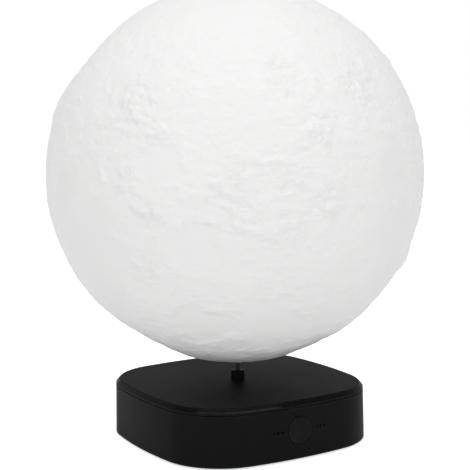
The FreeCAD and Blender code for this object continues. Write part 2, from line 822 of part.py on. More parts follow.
# ---------------------------------------------------------------- gears

# Form of the teeth: pressure angle, and how far tip and root are from the pitch circle, in modules.
PRESSURE_ANGLE = math.radians(20)
TIP_RISE = 0.95
ROOT_DROP = 1.25


def tooth_angle(radius, teeth, module, play):
    """Half the angle that one involute tooth takes at a radius."""
    pitch = module * teeth / 2
    local = math.acos(min(1.0, pitch * math.cos(PRESSURE_ANGLE) / radius))
    spread = (math.tan(PRESSURE_ANGLE) - PRESSURE_ANGLE) - (math.tan(local) - local)
    return math.pi / (2 * teeth) + spread - play / (2 * pitch)


def gear_face(teeth, module, play, turn):
    """Flat face of an external gear, with a tooth centred on the angle turn.

    Each flank joins three points of its involute: where it leaves the root, the pitch circle and the tip.
    """
    pitch = module * teeth / 2
    tip = pitch + module * TIP_RISE
    root = pitch - module * ROOT_DROP
    start = max(root, pitch * math.cos(PRESSURE_ANGLE))
    flank = [(radius, tooth_angle(radius, teeth, module, play)) for radius in (start, pitch, tip)]
    if start > root + CLOSE:
        flank.insert(0, (root, flank[0][1]))
    points = []
    for number in range(teeth):
        middle = turn + number * 2 * math.pi / teeth
        rise = [(radius, middle - half) for radius, half in flank]
        fall = [(radius, middle + half) for radius, half in reversed(flank)]
        points += [FreeCAD.Vector(radius * math.cos(angle), radius * math.sin(angle), 0)
                   for radius, angle in rise + fall]
    return Part.Face(Part.makePolygon(points + points[:1]))


def ring_solid(inner, outer, low, high):
    """A plain ring about the axis."""
    whole = Part.makeCylinder(outer, high - low, FreeCAD.Vector(0, 0, low))
    return whole.cut(Part.makeCylinder(inner, high - low, FreeCAD.Vector(0, 0, low)))


def placed_feature(label, shape, x=0.0, y=0.0, z=0.0):
    """A piece whose shape comes from a formula, put in its place."""
    thing = document.addObject("Part::Feature", label)
    thing.Shape = shape
    thing.Placement = FreeCAD.Placement(FreeCAD.Vector(x, y, z), FreeCAD.Rotation())
    return subpart(thing, label)


def spindle_wheel():
    """Toothed wheel with a thin holed web and a hub, fixed on the spindle."""
    module, teeth = value("gear_module"), int(value("wheel_teeth"))
    face, web, hub = value("wheel_face"), value("wheel_web"), value("wheel_hub_height")
    hub_radius = value("wheel_hub_radius")
    root = module * (teeth / 2 - ROOT_DROP)
    wheel = gear_face(teeth, module, value("tooth_play"), 0).extrude(FreeCAD.Vector(0, 0, face))
    for low, high in ((-1, (face - web) / 2), ((face + web) / 2, face + 1)):
        wheel = wheel.cut(ring_solid(hub_radius, root - value("wheel_rim"), low, high))
    overhang = (hub - face) / 2
    wheel = wheel.fuse(Part.makeCylinder(hub_radius, hub, FreeCAD.Vector(0, 0, -overhang)))
    bore = value("shaft_radius + bearing_gap")
    wheel = wheel.cut(Part.makeCylinder(bore, hub, FreeCAD.Vector(0, 0, -overhang)))
    middle = (hub_radius + root - value("wheel_rim")) / 2
    count = int(value("wheel_hole_count"))
    for number in range(count):
        angle = 2 * math.pi * (number + 0.5) / count
        spot = FreeCAD.Vector(middle * math.cos(angle), middle * math.sin(angle), 0)
        wheel = wheel.cut(Part.makeCylinder(value("wheel_hole_radius"), face, spot))
    return placed_feature("spindle_wheel", wheel.removeSplitter(), z=value("wheel_level"))


def motor_pinion():
    """Small pinion on the motor's shaft, with a gap between teeth facing the wheel."""
    module, teeth = value("gear_module"), int(value("pinion_teeth"))
    turn = math.pi / teeth + (0 if teeth % 2 == 0 else math.pi / teeth)
    face = value("pinion_face")
    pinion = gear_face(teeth, module, value("tooth_play"), turn).extrude(FreeCAD.Vector(0, 0, face))
    pinion = pinion.cut(Part.makeCylinder(value("motor_shaft_radius + bearing_gap"), face))
    level = value("wheel_level + wheel_face / 2 - pinion_face / 2")
    return placed_feature("motor_pinion", pinion, x=value("gear_spacing"), z=level)


# ---------------------------------------------------------------- motor


def gear_motor():
    """Round geared motor with a nose round its shaft and a plug for its lead."""
    body = new_body("gear_motor", x="gear_spacing", z="plate_top")
    can = drawing_on(body, "can_section", "XZ_Plane")
    hole, depth = "motor_shaft_radius + bearing_gap", "motor_shaft_depth"
    nose = "motor_height + motor_nose_height"
    outline(can, [
        ("0", "0"), ("motor_radius", "0"), ("motor_radius", "motor_height - motor_bevel"),
        ("motor_radius - motor_bevel", "motor_height"),
        ("motor_nose_radius", "motor_height"), ("motor_nose_radius", nose), (hole, nose),
        (hole, f"motor_height - {depth}"), ("0", f"motor_height - {depth}"),
    ])
    revolve(body, "can", can)
    plug = drawing_on(body, "plug_outline", rise="motor_plug_level")
    rectangle(plug, "motor_radius / 2", "-motor_plug_width / 2", "motor_radius + motor_plug_reach",
              "motor_plug_width / 2")
    pad(body, "plug", plug, "motor_plug_height")
    pilots = drawing_on(body, "pilot_outlines", rise="motor_height")
    for side in (-1, 1):
        circle(pilots, "small_screw_radius + fit_gap", y=f"{side} * motor_screw_spread")
    pocket(body, "pilots", pilots, "small_screw_length")
    return body


def motor_bracket():
    """Flat strap that holds the motor down on its two posts."""
    body = new_body("motor_bracket", x="gear_spacing", z="motor_top")
    strap = drawing_on(body, "strap_outline")
    obround(strap, "bracket_spread", "bracket_radius", upright=True)
    circle(strap, "motor_nose_radius + fit_gap")
    for side in (-1, 1):
        circle(strap, "small_screw_radius + fit_gap", y=f"{side} * bracket_spread")
        circle(strap, "small_screw_radius + fit_gap", y=f"{side} * motor_screw_spread")
    pad(body, "strap", strap, "bracket_thickness")
    return body


def small_screws(label, places, level, length):
    """Small pan-headed screws driven downward."""
    screws = []
    for number, (x, y) in enumerate(places):
        screws.append(screw(f"{label}_{number}", "small_screw_radius", length,
                            "small_head_radius", "small_head_height", x, y, level, "-z"))
    return gathered(label, screws)


def drive_screws():
    """Screws of the motor strap: two into the posts and two into the motor."""
    length = "small_screw_length + bracket_thickness - 2 * fit_gap"
    posts = [("gear_spacing", f"{side} * bracket_spread") for side in (-1, 1)]
    motor = [("gear_spacing", f"{side} * motor_screw_spread") for side in (-1, 1)]
    small_screws("bracket_screws", posts, "bracket_top", length)
    small_screws("motor_screws", motor, "bracket_top", length)


def motor_shaft():
    """The motor's own output shaft, which turns with the pinion."""
    length = "motor_shaft_depth - fit_gap + wheel_level + wheel_face / 2 + pinion_face / 2 - motor_top"
    shaft = rod("motor_shaft", "motor_shaft_radius", length, "gear_spacing", "0",
                "motor_top - motor_shaft_depth + fit_gap")
    return subpart(shaft, "motor_shaft")


# ---------------------------------------------------------------- boards in the base


def main_board():
    """Control board on four posts behind the motor."""
    body = new_body("main_board", z="main_board_level")
    board = drawing_on(body, "board_outline")
    rectangle(board, "-main_board_half", "main_board_front", "main_board_half", "main_board_back")
    for x, y in board_screw_places():
        circle(board, "small_screw_radius + fit_gap", x, y)
    pad(body, "board", board, "board_thickness")
    return body


def board_components():
    """Parts soldered on the main board: controller, capacitor, coil and two wire headers."""
    level = "board_top"
    members = [
        block("controller", "controller_side", "controller_side", "board_thickness",
              "-controller_side / 2", "component_place", level),
        rod("capacitor", "capacitor_radius", "capacitor_height", "main_board_half - capacitor_margin",
            "component_place + capacitor_radius / 2", level),
        block("coil", "coil_side", "coil_side", "coil_side / 2", "coil_margin - main_board_half",
              "component_place", level),
        block("motor_header", "header_width", "header_length", "header_height", "motor_header_place",
              "header_place", level),
        block("front_header", "header_width", "header_length", "header_height", "front_header_place",
              "header_place", level),
    ]
    return gathered("board_components", members)


def board_screws():
    """Four screws of the main board."""
    length = "small_screw_length + board_thickness - 2 * fit_gap"
    return small_screws("board_screws", board_screw_places(), "board_top", length)


def power_inlet():
    """Low-voltage power socket at the back: a rounded metal shell round a flat tongue."""
    body = new_body("power_inlet", y="main_board_back - inlet_inset", z="inlet_axis")
    shell = drawing_on(body, "shell_outline", "XZ_Plane", "-inlet_depth")
    obround(shell, "(inlet_width - inlet_height) / 2", "inlet_height / 2")
    pad(body, "shell", shell, "inlet_depth")
    mouth = drawing_on(body, "mouth_outline", "XZ_Plane", "-inlet_depth")
    obround(mouth, "(inlet_width - inlet_height) / 2", "inlet_height / 2 - inlet_wall")
    rectangle(mouth, "-inlet_width / 4", "-inlet_wall", "inlet_width / 4", "inlet_wall")
    pocket(body, "mouth", mouth, "inlet_depth - 3 * inlet_wall", forward=True)
    return body


def front_board():
    """Upright board behind the front wall, held in the two rails."""
    body = new_body("front_board", y="-front_board_place", z="front_board_bottom")
    board = drawing_on(body, "front_board_outline", "XZ_Plane", "-board_thickness")
    rectangle(board, "-front_board_half", "0", "front_board_half", "front_board_height")
    pad(body, "board", board, "board_thickness")
    return body


def button_switch():
    """Push switch on the front board, with a bore for its plunger."""
    body = new_body("button_switch", y="-front_board_place", z="button_axis")
    case = drawing_on(body, "case_outline", "XZ_Plane")
    rectangle(case, "-switch_side / 2", "-switch_side / 2", "switch_side / 2", "switch_side / 2")
    pad(body, "case", case, "switch_depth")
    bore = drawing_on(body, "bore_outline", "XZ_Plane", "switch_depth")
    circle(bore, "plunger_radius + plunger_gap")
    pocket(body, "bore", bore, "switch_depth - switch_floor")
    return body


def indicator_lights():
    """Small lights on the front board, one behind each indicator hole."""
    members = []
    for side, number in light_hole_places():
        x = light_hole_x(side, number)
        members.append(block(f"indicator_{side + 1}_{number}", "indicator_side", "indicator_depth",
                             "indicator_side", x, "-front_board_place - indicator_depth / 2",
                             "light_axis - indicator_side / 2"))
    return gathered("indicator_lights", members)


def light_pipes():
    """Clear rods from the indicator lights into the holes, three moulded on each bar."""
    members = []
    start = "front_board_place + indicator_side"
    length = f"button_face - button_proud - light_pipe_sink - ({start})"
    for side in (-1, 1):
        middle = light_hole_x(side, 1)
        parts = [block(f"pipe_bar_{side + 1}", "2 * light_hole_pitch + 4 * light_pipe_radius",
                       "pipe_bar_depth", "pipe_bar_height", middle,
                       "-front_board_place - pipe_bar_place", "light_axis - pipe_bar_height / 2")]
        for number in range(int(value("light_hole_count"))):
            parts.append(rod(f"pipe_{side + 1}_{number}", "light_pipe_radius", length,
                             light_hole_x(side, number), f"-({start})", "light_axis", "-y"))
        members.append(joined(f"pipes_{side + 1}", parts))
    return gathered("light_pipes", members)


# ---------------------------------------------------------------- button


def button_cap():
    """Hollow round button with a flange behind the guide and a stem toward the switch."""
    body = new_body("button_cap", y="-button_face", z="button_axis")
    flange_front = "button_face - guide_face + fit_gap"
    disc = drawing_on(body, "disc_outline", "XZ_Plane")
    circle(disc, "button_radius")
    face = pad(body, "disc", disc, f"{flange_front} + button_flange", backward=True)
    bevel = body.newObject("PartDesign::Chamfer", "face_bevel")
    edges = [f"Edge{number}" for number, edge in enumerate(face.Shape.Edges, start=1)
             if edge.BoundBox.YMax < CLOSE]
    bevel.Base = (face, edges)
    bind(bevel, "Size", "button_bevel")
    document.recompute()
    flange = drawing_on(body, "flange_outline", "XZ_Plane", f"-({flange_front})")
    circle(flange, "button_flange_radius")
    pad(body, "flange", flange, "button_flange", backward=True)
    inside = drawing_on(body, "inside_outline", "XZ_Plane", "-button_shell")
    circle(inside, "button_radius - button_shell")
    circle(inside, "plunger_radius + stem_wall")
    pocket(body, "inside", inside, f"{flange_front} + button_flange")
    stem = drawing_on(body, "stem_outline", "XZ_Plane", "-button_shell")
    circle(stem, "plunger_radius + stem_wall")
    pad(body, "stem", stem, "button_face - button_shell - switch_face - plunger_reach", backward=True)
    return body


def switch_plunger():
    """Plunger of the push switch, which the button's stem presses."""
    plunger = rod("switch_plunger", "plunger_radius", "plunger_reach - fit_gap + plunger_seat", "0",
                  "-(switch_face + plunger_reach - fit_gap)", "button_axis", "+y")
    return subpart(plunger, "switch_plunger")


# ---------------------------------------------------------------- globe


# Shallow craters of the globe: latitude and longitude in degrees, radius and depth in millimetres.
CRATERS = (
    (-17, -133, 13.2, 1.2), (13, -132, 5.8, 0.7), (57, -76, 5.3, 0.65), (-31, -104, 5.6, 0.7),
    (34, -148, 5.0, 0.6), (-9, -82, 6.4, 0.75), (12, -20, 9.5, 1.2), (-35, 40, 8.0, 1.1),
    (25, 95, 11.0, 1.3), (-8, 150, 9.0, 1.2), (55, 60, 7.0, 1.0), (-50, -30, 7.5, 1.0),
    (48, -10, 6.0, 0.9), (-45, 140, 8.5, 1.1),
)


def crater_ball(number, latitude, longitude, radius, depth):
    """A large ball that dips into the globe by the crater's depth and meets it in the crater's rim."""
    sagitta = f"(globe_radius - sqrt(globe_radius^2 - {radius}^2))"
    reach = f"((2 * globe_radius * {depth} - {depth}^2) / (2 * ({depth} - {sagitta})))"
    ball = document.addObject("Part::Sphere", f"crater_{number}")
    bind(ball, "Radius", f"{reach} - globe_radius + {depth}")
    across = f"{reach} * cos({latitude}deg)"
    return place(ball, f"{across} * cos({longitude}deg)", f"{across} * sin({longitude}deg)",
                 f"globe_centre + {reach} * sin({latitude}deg)")


def globe_shell():
    """Hollow printed globe, open at the bottom inside a thick collar, with shallow craters."""
    body = document.addObject("PartDesign::Body", "globe_wall_body")
    bind(body, "Placement.Base.z", "globe_centre")
    section = drawing_on(body, "globe_section", "XZ_Plane")
    outline(section, [
        ("cap_radius", "-cap_drop"), ("0", "globe_radius"), ("0", "globe_inner"),
        ("collar_radius", "-sqrt(globe_inner^2 - collar_radius^2)"),
        ("collar_radius", "collar_height - seat_drop"), ("collar_bore", "collar_height - seat_drop"),
        ("collar_bore", "-seat_drop"), ("cap_radius", "-seat_drop"),
    ], arcs={0: ("globe_radius", 1), 2: ("globe_inner", -1)})
    revolve(body, "globe", section)
    pilots = drawing_on(body, "pilot_outline", rise="-seat_drop")
    circle(pilots, "cap_screw_radius + fit_gap", "cap_screw_circle")
    first = pocket(body, "pilot", pilots, "collar_height - cap_pilot_floor", forward=True)
    polar(body, "pilots", first, pilots, "cap_screw_count")
    cratered = document.addObject("Part::MultiFuse", "crater_balls")
    cratered.Shapes = [crater_ball(number, *crater) for number, crater in enumerate(CRATERS)]
    shell = document.addObject("Part::Cut", "globe_shell")
    shell.Base = body
    shell.Tool = cratered
    return subpart(shell, "globe_shell")


def globe_cap():
    """Cap that closes the bottom of the globe, flush with its surface, with a boss for the pin socket."""
    body = new_body("globe_cap", z="globe_centre")
    section = drawing_on(body, "cap_section", "XZ_Plane")
    edge, bore = "cap_radius - cap_gap", "socket_radius + fit_gap"
    outline(section, [
        (bore, f"-sqrt(globe_radius^2 - ({bore})^2)"), (edge, f"-sqrt(globe_radius^2 - ({edge})^2)"),
        (edge, "-seat_drop"), ("cap_boss_radius", "-seat_drop"),
        ("cap_boss_radius", "cap_boss_height - seat_drop"), (bore, "cap_boss_height - seat_drop"),
    ], arcs={0: ("globe_radius", 1)})
    revolve(body, "cap", section)
    hole = drawing_on(body, "screw_hole_outline", rise="-seat_drop")
    circle(hole, "cap_screw_radius + fit_gap", "cap_screw_circle")
    first = pocket(body, "screw_hole", hole, "cap_edge + cap_screw_circle")
    polar(body, "screw_holes", first, hole, "cap_screw_count")
    sink = drawing_on(body, "head_sink_outline", rise="-seat_drop - cap_screw_seat")
    circle(sink, "cap_screw_head_radius + fit_gap", "cap_screw_circle")
    second = pocket(body, "head_sink", sink, "cap_screw_circle")
    polar(body, "head_sinks", second, sink, "cap_screw_count")
    slot = drawing_on(body, "charge_slot_outline", rise="-seat_drop")
    obround(slot, "(inlet_width - inlet_height) / 2", "inlet_height / 2 + inlet_gap", x="-charge_offset",
            upright=True)
    pocket(body, "charge_slot", slot, "globe_radius")
    return body


def cap_screws():
    """Screws through the cap into the globe's collar."""
    count = int(value("cap_screw_count"))
    screws = []
    for number in range(count):
        angle = f"({number} * 360deg / cap_screw_count)"
        x, y = f"cap_screw_circle * cos{angle}", f"cap_screw_circle * sin{angle}"
        screws.append(screw(f"cap_screw_{number}", "cap_screw_radius", "cap_screw_length",
                            "cap_screw_head_radius", "cap_screw_head_height", x, y,
                            "globe_centre - seat_drop - cap_screw_seat"))
    return gathered("cap_screws", screws)


def pin_socket():
    """Brass socket with a flatted bore that the pin turns."""
    body = new_body("pin_socket", z="globe_centre - globe_radius + socket_sink")
    ring = drawing_on(body, "socket_outline")
    circle(ring, "socket_radius")
    pad(body, "socket", ring, "socket_rise")
    bore = drawing_on(body, "bore_outline")
    flat, radius = "pin_radius - pin_flat + fit_gap", "pin_radius + fit_gap"
    chord = f"sqrt(({radius})^2 - ({flat})^2)"
    outline(bore, [(flat, chord), (f"-({flat})", chord), (f"-({flat})", f"-{chord}"), (flat, f"-{chord}")],
            arcs={0: (radius, 1), 1: (radius, 1), 2: (radius, 1)})
    pocket(body, "bore", bore, "pin_engage - socket_sink + fit_gap", forward=True)
    return body


def lamp_column():
    """Tube that stands on the cap, holds the battery on a shelf and carries the light board."""
    body = new_body("lamp_column", z="globe_centre + column_foot")
    section = drawing_on(body, "column_section", "XZ_Plane")
    inside = "column_radius - column_wall"
    outline(section, [
        ("column_radius", "0"), ("column_radius", "column_height"), (inside, "column_height"),
        (inside, "shelf_height + shelf_thickness"), ("0", "shelf_height + shelf_thickness"),
        ("0", "shelf_height"),
        (inside, "shelf_height"), (inside, "0"),
    ])
    revolve(body, "column", section)
    window = drawing_on(body, "window_outline", "XZ_Plane", "-2 * column_radius")
    obround(window, "battery_length / 3", "battery_radius * 0.8", y="column_height / 2 + shelf_height / 2",
            upright=True)
    pocket(body, "window", window, "4 * column_radius", forward=True)
    return body


def light_engine():
    """Battery on the column's shelf, and the light board, lights and diffuser on top of the column."""
    shelf = "globe_centre + column_foot + shelf_height + shelf_thickness"
    subpart(rod("battery_cell", "battery_radius", "battery_length", "0", "0", shelf), "battery_cell")
    top = "globe_centre + column_top"
    subpart(rod("light_board", "column_radius", "light_board_thickness", "0", "0", top), "light_board")
    members = []
    for number in range(int(value("light_count"))):
        angle = f"({number} * 360deg / light_count)"
        members.append(block(f"light_{number}", "light_side", "light_side", "light_height",
                             f"light_circle * cos{angle}", f"light_circle * sin{angle}",
                             f"{top} + light_board_thickness"))
    gathered("light_chips", members)
    dome = new_body("light_diffuser", z=f"{top} + light_board_thickness")
    section = drawing_on(dome, "dome_section", "XZ_Plane")
    inside = "column_radius - diffuser_wall"
    shoulder = "column_radius / 2"
    outline(section, [
        ("column_radius", "0"), ("column_radius", f"diffuser_height - {shoulder}"),
        (f"column_radius - {shoulder}", "diffuser_height"), ("0", "diffuser_height"),
        ("0", "diffuser_height - diffuser_wall"),
        (f"column_radius - {shoulder}", "diffuser_height - diffuser_wall"),
        (inside, f"diffuser_height - {shoulder}"), (inside, "0"),
    ], arcs={1: (shoulder, 1), 5: (f"{shoulder} - diffuser_wall", -1)})
    revolve(dome, "dome", section)
    return dome


def charge_parts():
    """Charging board round the pin socket, and its socket that opens through the cap."""
    level = "globe_centre + column_foot + inlet_depth - cap_edge + charge_sink"
    board = new_body("charge_board", z=level)
    ring = drawing_on(board, "ring_outline")
    circle(ring, "charge_board_radius")
    circle(ring, "charge_board_bore")
    pad(board, "ring", ring, "board_thickness")
    shell = new_body("charge_socket", x="-charge_offset",
                     z="globe_centre + column_foot - cap_edge + charge_sink")
    case = drawing_on(shell, "case_outline")
    obround(case, "(inlet_width - inlet_height) / 2", "inlet_height / 2", upright=True)
    pad(shell, "case", case, "inlet_depth")
    mouth = drawing_on(shell, "mouth_outline")
    obround(mouth, "(inlet_width - inlet_height) / 2", "inlet_height / 2 - inlet_wall", upright=True)
    rectangle(mouth, "-inlet_wall", "-inlet_width / 4", "inlet_wall", "inlet_width / 4")
    pocket(shell, "mouth", mouth, "inlet_depth - 3 * inlet_wall", forward=True)
    return shell


# ---------------------------------------------------------------- leads

# Share of the shorter neighbouring run that a bend takes, and how far a tube's volume may be off.
BEND_SHARE = 0.45
SOUND_SHARE = 0.02


def bent_rod(label, points, radius):
    """A lead along straight runs joined by tangent arcs."""
    spots = [FreeCAD.Vector(*(value(number) for number in point)) for point in points]
    edges = []
    start = spots[0]
    for before, corner, after in zip(spots, spots[1:], spots[2:]):
        come, leave = (corner - before), (after - corner)
        half_turn = come.getAngle(leave) / 2
        setback = BEND_SHARE * min(come.Length, leave.Length)
        come.normalize()
        leave.normalize()
        first, last = corner - come * setback, corner + leave * setback
        inward = (leave - come).normalize()
        bend = setback / math.tan(half_turn)
        middle = corner + inward * (bend / math.cos(half_turn) - bend)
        edges.append(Part.LineSegment(start, first).toShape())
        edges.append(Part.Arc(first, middle, last).toShape())
        start = last
    edges.append(Part.LineSegment(start, spots[-1]).toShape())
    path = Part.Wire(edges)
    way = (spots[1] - spots[0]).normalize()
    ring = Part.Wire(Part.Circle(spots[0], way, radius).toShape())
    tube = path.makePipeShell([ring], True, False)
    expected = math.pi * radius ** 2 * path.Length
    if abs(tube.Volume / expected - 1) > SOUND_SHARE:
        raise ValueError(f"{label}: the tube has the wrong volume")
    return placed_feature(label, tube)


def leads():
    """Sleeved lead from the motor to the main board, and one from the front board.

    Their corners are set off sideways by bows of the lead, and along the way by shares of the distance.
    """
    radius = value("lead_radius")
    entry = "board_top + header_height / 2 + lead_radius / 2"
    plug = "gear_spacing + motor_radius + motor_plug_reach"
    level = "plate_top + motor_plug_level + motor_plug_height / 2"
    header = "motor_header_place + header_width / 2"
    bent_rod("motor_lead", [
        (f"{plug} + fit_gap", "0", level), (f"{plug} + lead_reach", "0", level),
        (f"{plug} + lead_reach + lead_bow", "0.45 * lead_crossing", f"{level} + lead_sag / 2"),
        (f"{plug} + lead_bow", "lead_crossing", f"{entry} - lead_sag / 2"),
        ("gear_spacing", "lead_crossing", entry), (f"{header} + lead_reach", "header_place", entry),
        (f"{header} + fit_gap", "header_place", entry),
    ], radius)
    start = "(board_thickness - front_board_place)"
    low = "board_top + 2 * lead_radius"
    bent_rod("front_lead", [
        ("front_header_place - 2 * lead_bow", f"{start} + fit_gap", low),
        ("front_header_place - 2 * lead_bow", f"{start} + 1.7 * lead_reach", low),
        ("front_header_place - 5.5 * lead_bow", f"0.46 * {start}", f"{low} - lead_bow"),
        ("front_header_place - 6.5 * lead_bow", f"0.13 * {start}", f"{low} - lead_sag"),
        ("front_header_place - 5 * lead_bow", "0.36 * main_board_front", f"{low} - lead_bow"),
        ("front_header_place", "0.64 * main_board_front", entry),
        ("front_header_place", "header_face", entry),
    ], radius)


# ---------------------------------------------------------------- build


def build():
    """Make every piece of the lamp."""
    base_housing()
    top_cover()
    base_plate()
    rubber_feet()
    base_screws()
    bearing_post()
    upper_bush()
    lower_bush()
    spindle_shaft()
    thrust_washer()
    spindle_wheel()
    motor_pinion()
    gear_motor()
    motor_bracket()
    drive_screws()
    motor_shaft()
    main_board()
    board_components()
    board_screws()
    power_inlet()
    front_board()
    button_switch()
    indicator_lights()
    light_pipes()
    button_cap()
    switch_plunger()
    globe_shell()
    globe_cap()
    cap_screws()
    pin_socket()
    lamp_column()
    light_engine()
    charge_parts()
    leads()
    document.recompute()


def check_and_write():
    """Refuse a failed or broken piece, then write every piece under its own name."""
    for thing in document.Objects:
        if "Invalid" in thing.State or "Error" in thing.State:
            raise ValueError(f"{thing.Label} did not build: {thing.State}")
    for piece in subparts:
        if piece.Shape.isNull() or not piece.Shape.isValid() or not piece.Shape.Solids:
            raise ValueError(f"{piece.Label} has no sound solid")
    os.makedirs("parts", exist_ok=True)
    for piece in subparts:
        piece.Shape.exportStep(f"parts/{piece.Label}.step")
        print(piece.Label, len(piece.Shape.Solids), round(piece.Shape.Volume, 1))


build()
check_and_write()
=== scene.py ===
import math
import random

import bmesh
import bpy
import numpy as np
from bpy.props import FloatProperty, FloatVectorProperty, IntProperty, PointerProperty
from bpy.types import Operator, Panel, PropertyGroup
from mathutils import Matrix, Vector, noise


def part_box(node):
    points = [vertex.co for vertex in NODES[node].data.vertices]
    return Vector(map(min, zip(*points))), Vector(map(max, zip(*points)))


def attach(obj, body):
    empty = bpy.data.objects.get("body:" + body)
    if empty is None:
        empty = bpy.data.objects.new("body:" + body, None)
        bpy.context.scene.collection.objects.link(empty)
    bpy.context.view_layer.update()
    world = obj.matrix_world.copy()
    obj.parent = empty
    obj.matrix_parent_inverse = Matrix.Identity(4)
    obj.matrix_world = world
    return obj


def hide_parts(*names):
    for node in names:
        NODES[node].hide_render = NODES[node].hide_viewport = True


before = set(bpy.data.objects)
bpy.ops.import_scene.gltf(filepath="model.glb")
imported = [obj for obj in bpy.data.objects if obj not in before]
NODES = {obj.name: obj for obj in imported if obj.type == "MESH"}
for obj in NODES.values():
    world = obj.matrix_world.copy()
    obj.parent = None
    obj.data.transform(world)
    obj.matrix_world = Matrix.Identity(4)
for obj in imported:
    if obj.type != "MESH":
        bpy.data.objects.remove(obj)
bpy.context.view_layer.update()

bl_info = {
    "name": "Turning Moon Lamp",
    "version": (1, 0, 0),
    "blender": (4, 5, 0),
    "location": "3D View > Sidebar > Moon Lamp",
    "description": "Relief globe, black motor base and studio stage of a turning moon lamp",
    "category": "Object",
}

# -------- sizes, most of them taken from the frame

# Lengths are in metres.
MM = 0.001
SHELL_LOW, SHELL_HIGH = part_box("globe_shell")
CAP_LOW, CAP_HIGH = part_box("globe_cap")
HOUSING_LOW, HOUSING_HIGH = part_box("base_housing")
COVER_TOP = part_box("top_cover")[1].z
BUTTON_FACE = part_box("button_cap")[0].y
GLOBE_RADIUS = (SHELL_HIGH.x - SHELL_LOW.x) / 2
GLOBE_HEIGHT = SHELL_HIGH.z - GLOBE_RADIUS
# The opening's radius is larger than the cap's by this gap.
CAP_GAP = 0.15 * MM
OPENING_RADIUS = CAP_HIGH.x + CAP_GAP
# The relief dies out over this distance from the opening.
OPENING_FADE = 8 * MM


# -------- settings a user may change


def length(name, description, default):
    """A length that the panel shows."""
    return FloatProperty(name=name, description=description, default=default, unit="LENGTH")


def angle(name, description, degrees):
    """An angle that the panel shows."""
    return FloatProperty(name=name, description=description, default=math.radians(degrees), subtype="ANGLE")


def paint(name, description, default):
    """A colour that the panel shows."""
    return FloatVectorProperty(name=name, description=description, subtype="COLOR", size=3,
                               default=default, min=0, max=1)


class MoonGlobeSettings(PropertyGroup):
    """Sizes of the relief globe."""

    grid: IntProperty(
        name="Grid", description="Cuts across each side of the ball", default=119, min=8, max=125)
    wall: length("Wall", "Thickness of the printed wall", 3.4 * MM)
    sink: length("Sink", "How far the mean surface lies under the nominal ball", 0.08 * MM)
    swell: length("Swell", "Height of the broad unevenness", 0.4 * MM)
    ridges: length("Ridges", "Height of the rugged uplands", 0.8 * MM)
    plains: length("Plains", "Depth of the smooth plains", 0.3 * MM)
    craters: IntProperty(
        name="Craters", description="Number of scattered craters", default=170, min=0)
    seed: IntProperty(
        name="Seed", description="Seed of the scattered craters", default=7)
    collar_bore: length("Collar bore", "Radius of the hole in the collar", 20 * MM)
    collar_radius: length("Collar radius", "Outer radius of the collar", 32 * MM)
    collar_height: length("Collar height", "Height of the collar over its seat", 6 * MM)
    cap_edge: length("Cap edge", "Thickness of the cap at its rim", 2.2 * MM)


class BaseSettings(PropertyGroup):
    """The cover's rim and the rounding of edges."""

    rim_height: length("Rim height", "Height of the cover's rim", 3.2 * MM)
    wall_round: length("Wall round", "Rounding of the base's and the button's edges", 0.25 * MM)
    small_round: length("Small round", "Rounding of the cap's and the post's edges", 0.12 * MM)


class FinishSettings(PropertyGroup):
    """Main colours."""

    moon: paint("Moon", "White of the printed globe and its cap", (0.845, 0.845, 0.84))
    cover: paint("Cover", "Black of the cover, the housing and the base plate", (0.0066, 0.0066, 0.0068))
    button: paint("Button", "Black of the button", (0.0056, 0.0056, 0.0058))


class StageSettings(PropertyGroup):
    """Camera and light."""

    azimuth: angle("Azimuth", "Camera's turn round the lamp", -31.1)
    elevation: angle("Elevation", "Camera's height angle", 6.08)
    roll: angle("Roll", "Camera's tilt about its own axis", -0.74)
    distance: length("Distance", "Camera to target", 0.61452)
    target_side: length("Target side", "Target's offset to the camera's right", -0.511 * MM)
    target_height: length("Target height", "Target's height over the floor", 108.83 * MM)
    lens: FloatProperty(
        name="Lens", description="Focal length in millimetres on a 36 mm sensor", default=87.38)
    world: FloatProperty(
        name="World", description="Strength of the light from all round", default=0.65)
    key: FloatProperty(
        name="Key", description="Power of the overhead soft box in watts", default=9.4)
    side: FloatProperty(
        name="Side", description="Power of each side box in watts", default=3.1)
    side_reach: length("Side reach", "Distance of the side boxes", 1.4)
    floor_size: length("Floor size", "Half the side of the floor", 4.0)


class MoonLampSettings(PropertyGroup):
    """Everything the panel shows."""

    globe: PointerProperty(type=MoonGlobeSettings)
    base: PointerProperty(type=BaseSettings)
    finish: PointerProperty(type=FinishSettings)
    stage: PointerProperty(type=StageSettings)


# -------- node helpers


def node(tree, kind, **values):
    """A new node, with its own settings and the values of its unlinked sockets."""
    made = tree.nodes.new(kind)
    for name, value in values.items():
        if name in made.bl_rna.properties:
            setattr(made, name, value)
        else:
            made.inputs[name.replace("_", " ")].default_value = value
    return made


def feed(value, socket):
    """Give a socket an output, or else a plain value."""
    if isinstance(value, bpy.types.NodeSocket):
        socket.id_data.links.new(value, socket)
    else:
        socket.default_value = value


def maths(tree, operation, first, second=None, clamp=False):
    """A Math node; each operand is a number or an output."""
    made = node(tree, "ShaderNodeMath", operation=operation, use_clamp=clamp)
    feed(first, made.inputs[0])
    if second is not None:
        feed(second, made.inputs[1])
    return made.outputs[0]


def times(tree, first, *others):
    """The product of numbers and outputs."""
    for other in others:
        first = maths(tree, "MULTIPLY", first, other)
    return first


def plus(tree, first, second):
    """The sum of two numbers or outputs."""
    return maths(tree, "ADD", first, second)


def minus(tree, first, second):
    """The difference of two numbers or outputs."""
    return maths(tree, "SUBTRACT", first, second)


def parts_of(tree, vector):
    """The X, Y and Z parts of a vector."""
    made = tree.nodes.new("ShaderNodeSeparateXYZ")
    feed(vector, made.inputs[0])
    return made.outputs


